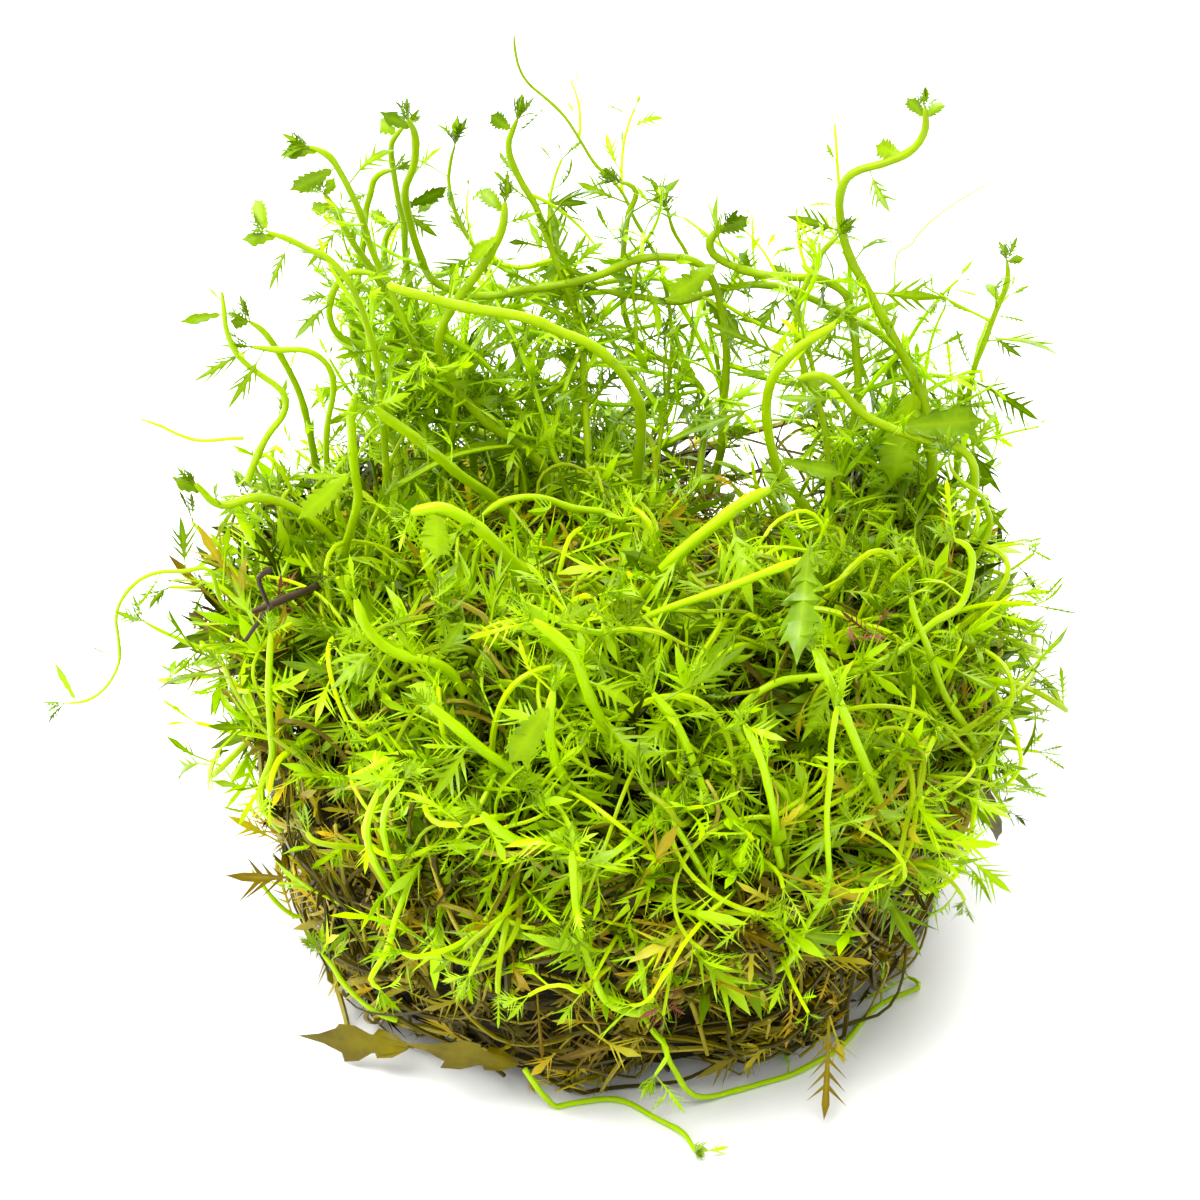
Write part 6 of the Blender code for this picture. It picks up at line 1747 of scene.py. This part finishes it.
back_stems = [stem for stem in stems if stem.places[0].y > TANGLE_FROM and stem.name not in UNTANGLED]
places, forwards, sizes, tints = [], [], [], []
for stem in back_stems:
    count = len(stem.places)
    for number in range(TANGLE_PER_SHOOT):
        share = TANGLE_STRETCH[0] + TANGLE_STRETCH[1] * (number + GROW.uniform(0, 1)) / TANGLE_PER_SHOOT
        index = min(int(count * share), count - 2)
        if in_gap(stem.places[index]):
            continue
        places.append(tuple(stem.places[index]))
        rise = stem.places[index - 1] - stem.places[index + 1]
        forwards.append(np.array(rise.normalized()) * TANGLE_RISE + GROW.normal(size=3) * TANGLE_SCATTER)
        sizes.append(GROW.uniform(*TANGLE_SIZES))
        tints.append(GROW.uniform(*TANGLE_TINTS))
places = np.array(places)
tangle = [scatter(GROW, sprigs, places, np.array(forwards), unit(GROW.normal(size=places.shape)),
                  np.array(sizes), np.array(tints))]

crossings = 0
while crossings < CROSSING_COUNT:
    first, second = (back_stems[number] for number in GROW.choice(len(back_stems), 2, replace=False))
    start = first.places[int(len(first.places) * GROW.uniform(*CROSSING_STARTS))]
    end = second.places[int(len(second.places) * GROW.uniform(*CROSSING_ENDS))]
    reach = end - start
    if not CROSSING_SHORTEST < reach.length < CROSSING_LONGEST or in_gap((start + end) / 2):
        continue
    crossings += 1
    sag = Vector((0, 0, CROSSING_SAG * reach.length * GROW.uniform(*CROSSING_SAGS)))
    beyond = end + reach.cross(Vector((0, 0, 1))) * CROSSING_SWING
    line = rows(smooth_route([start, (start + end) / 2 + sag, end, beyond], CROSSING_STEP))
    tint = GROW.uniform(*CROSSING_TINTS)
    tangle.append(tube(line, np.linspace(*CROSSING_RADII, len(line)), 5, tint))
    picked = np.arange(1, len(line), 2)
    _, forwards = leaf_headings(GROW, line, picked, CROSSING_LEAN)
    tangle.append(scatter(GROW, young_forms, line[picked], forwards, unit(GROW.normal(size=forwards.shape)),
                          GROW.uniform(*CROSSING_LEAVES, len(picked)),
                          np.full(len(picked), CROSSING_LEAF_TINT * tint)))
tangle_piece = mesh_piece("tangled_side_sprigs", join(tangle), shoot_finish)
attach(tangle_piece, "root")


# The shoots themselves, each in place of its solid. One is long dead: its stem is bare and dark as
# wet bark, with two side twigs that are too fine for its solid: widths at both ends, depth and route.
DEAD_COLOURS = ("#1C1410", "#3A2A22", "#5A4438")
DEAD_TWIGS = (
    (4, 6, -15, (268, 604, 262, 590, 259, 577, 271, 569)),
    (4, 5, -15, (246, 640, 254, 628, 262, 618, 272, 606)),
)

# Dead bark is dull and nearly black, and lets hardly any light through
dead_stem_finish = plant_tissue("dead_stem_bark", (DEAD_COLOURS[:2], DEAD_COLOURS), 0.05, 0.6)
for stem in stems:
    dead = stem.name == "dead_dark_stem"
    part = shoot_piece(GROW, stem)
    if dead:
        for tip_width, root_width, depth, route in DEAD_TWIGS:
            line = [sight_place(across, down, towards_at_depth(down, depth))
                    for across, down in grid_points(route)]
            line = rows(smooth_route(line, RING_SPACING))
            widths = np.linspace(tip_width, root_width, len(line)) * GRID_STEP / 2
            part = join([part, tube(line, widths, 6, 0.5)])
    piece = mesh_piece(stem.name + "_look", part, dead_stem_finish if dead else shoot_finish)
    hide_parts(stem.name)
    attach(piece, "root")


# Large leaves that are pieces of their own: one fresh serrate leaf hangs down the front, one dead and
# pale hangs off the mat, and two old brown ones lie flat at its foot, held by the matted roots.
# In a row: name, form, slot, tint, width, then across, down and depth at the tip and at the base
PALE_LEAF_COLOURS = ("#7A704A", "#A09870", "#CCC498")
LARGE_LEAVES = (
    ("large_serrate_leaf", "toothed", "young_leaf", 0.2, 44, (790, 690, -34), (809, 552, -22)),
    ("pale_dead_leaf", "lance", "dead_leaf", 0.2, 14, (1006, 862, -6), (982, 772, -4)),
    ("old_foot_leaf", "ragged", "old_leaf", 0.4, 44, (294, 1036, -26), (398, 1046, -30)),
    ("old_front_leaf", "ragged", "old_leaf", 0.4, 36, (404, 1044, -37), (508, 1062, -35)),
)
BASE_BEYOND = 0.15

# The pale dead leaf is dull, and straw-coloured
large_finishes = {
    "young_leaf": shoot_finish,
    "dead_leaf": plant_tissue("pale_dead_leaf_tissue", (PALE_LEAF_COLOURS, PALE_LEAF_COLOURS), 0.3, 0.5),
    "old_leaf": old_leaf_finish,
}
for name, form, slot, tint, width, *ends in LARGE_LEAVES:
    tip, base = (np.array(sight_place(across, down, towards_at_depth(down, depth)))
                 for across, down, depth in ends)
    forward = tip - base
    length = (1 + BASE_BEYOND) * float(np.sqrt(forward.dot(forward)))
    reach = LEAF_SETS[form][0]["points"][:, 1].max()
    shaped = shaped_leaf(form, 0, width * GRID_STEP / length / FORMS[form][1], 1 / reach, 1)
    part = scatter(GROW, [shaped], (base - BASE_BEYOND * forward)[None], forward[None], EYE_ROW[None],
                   np.array([length]), np.array([tint]))
    piece = mesh_piece(name + "_look", part, large_finishes[slot])
    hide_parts(name)
    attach(piece, "root")
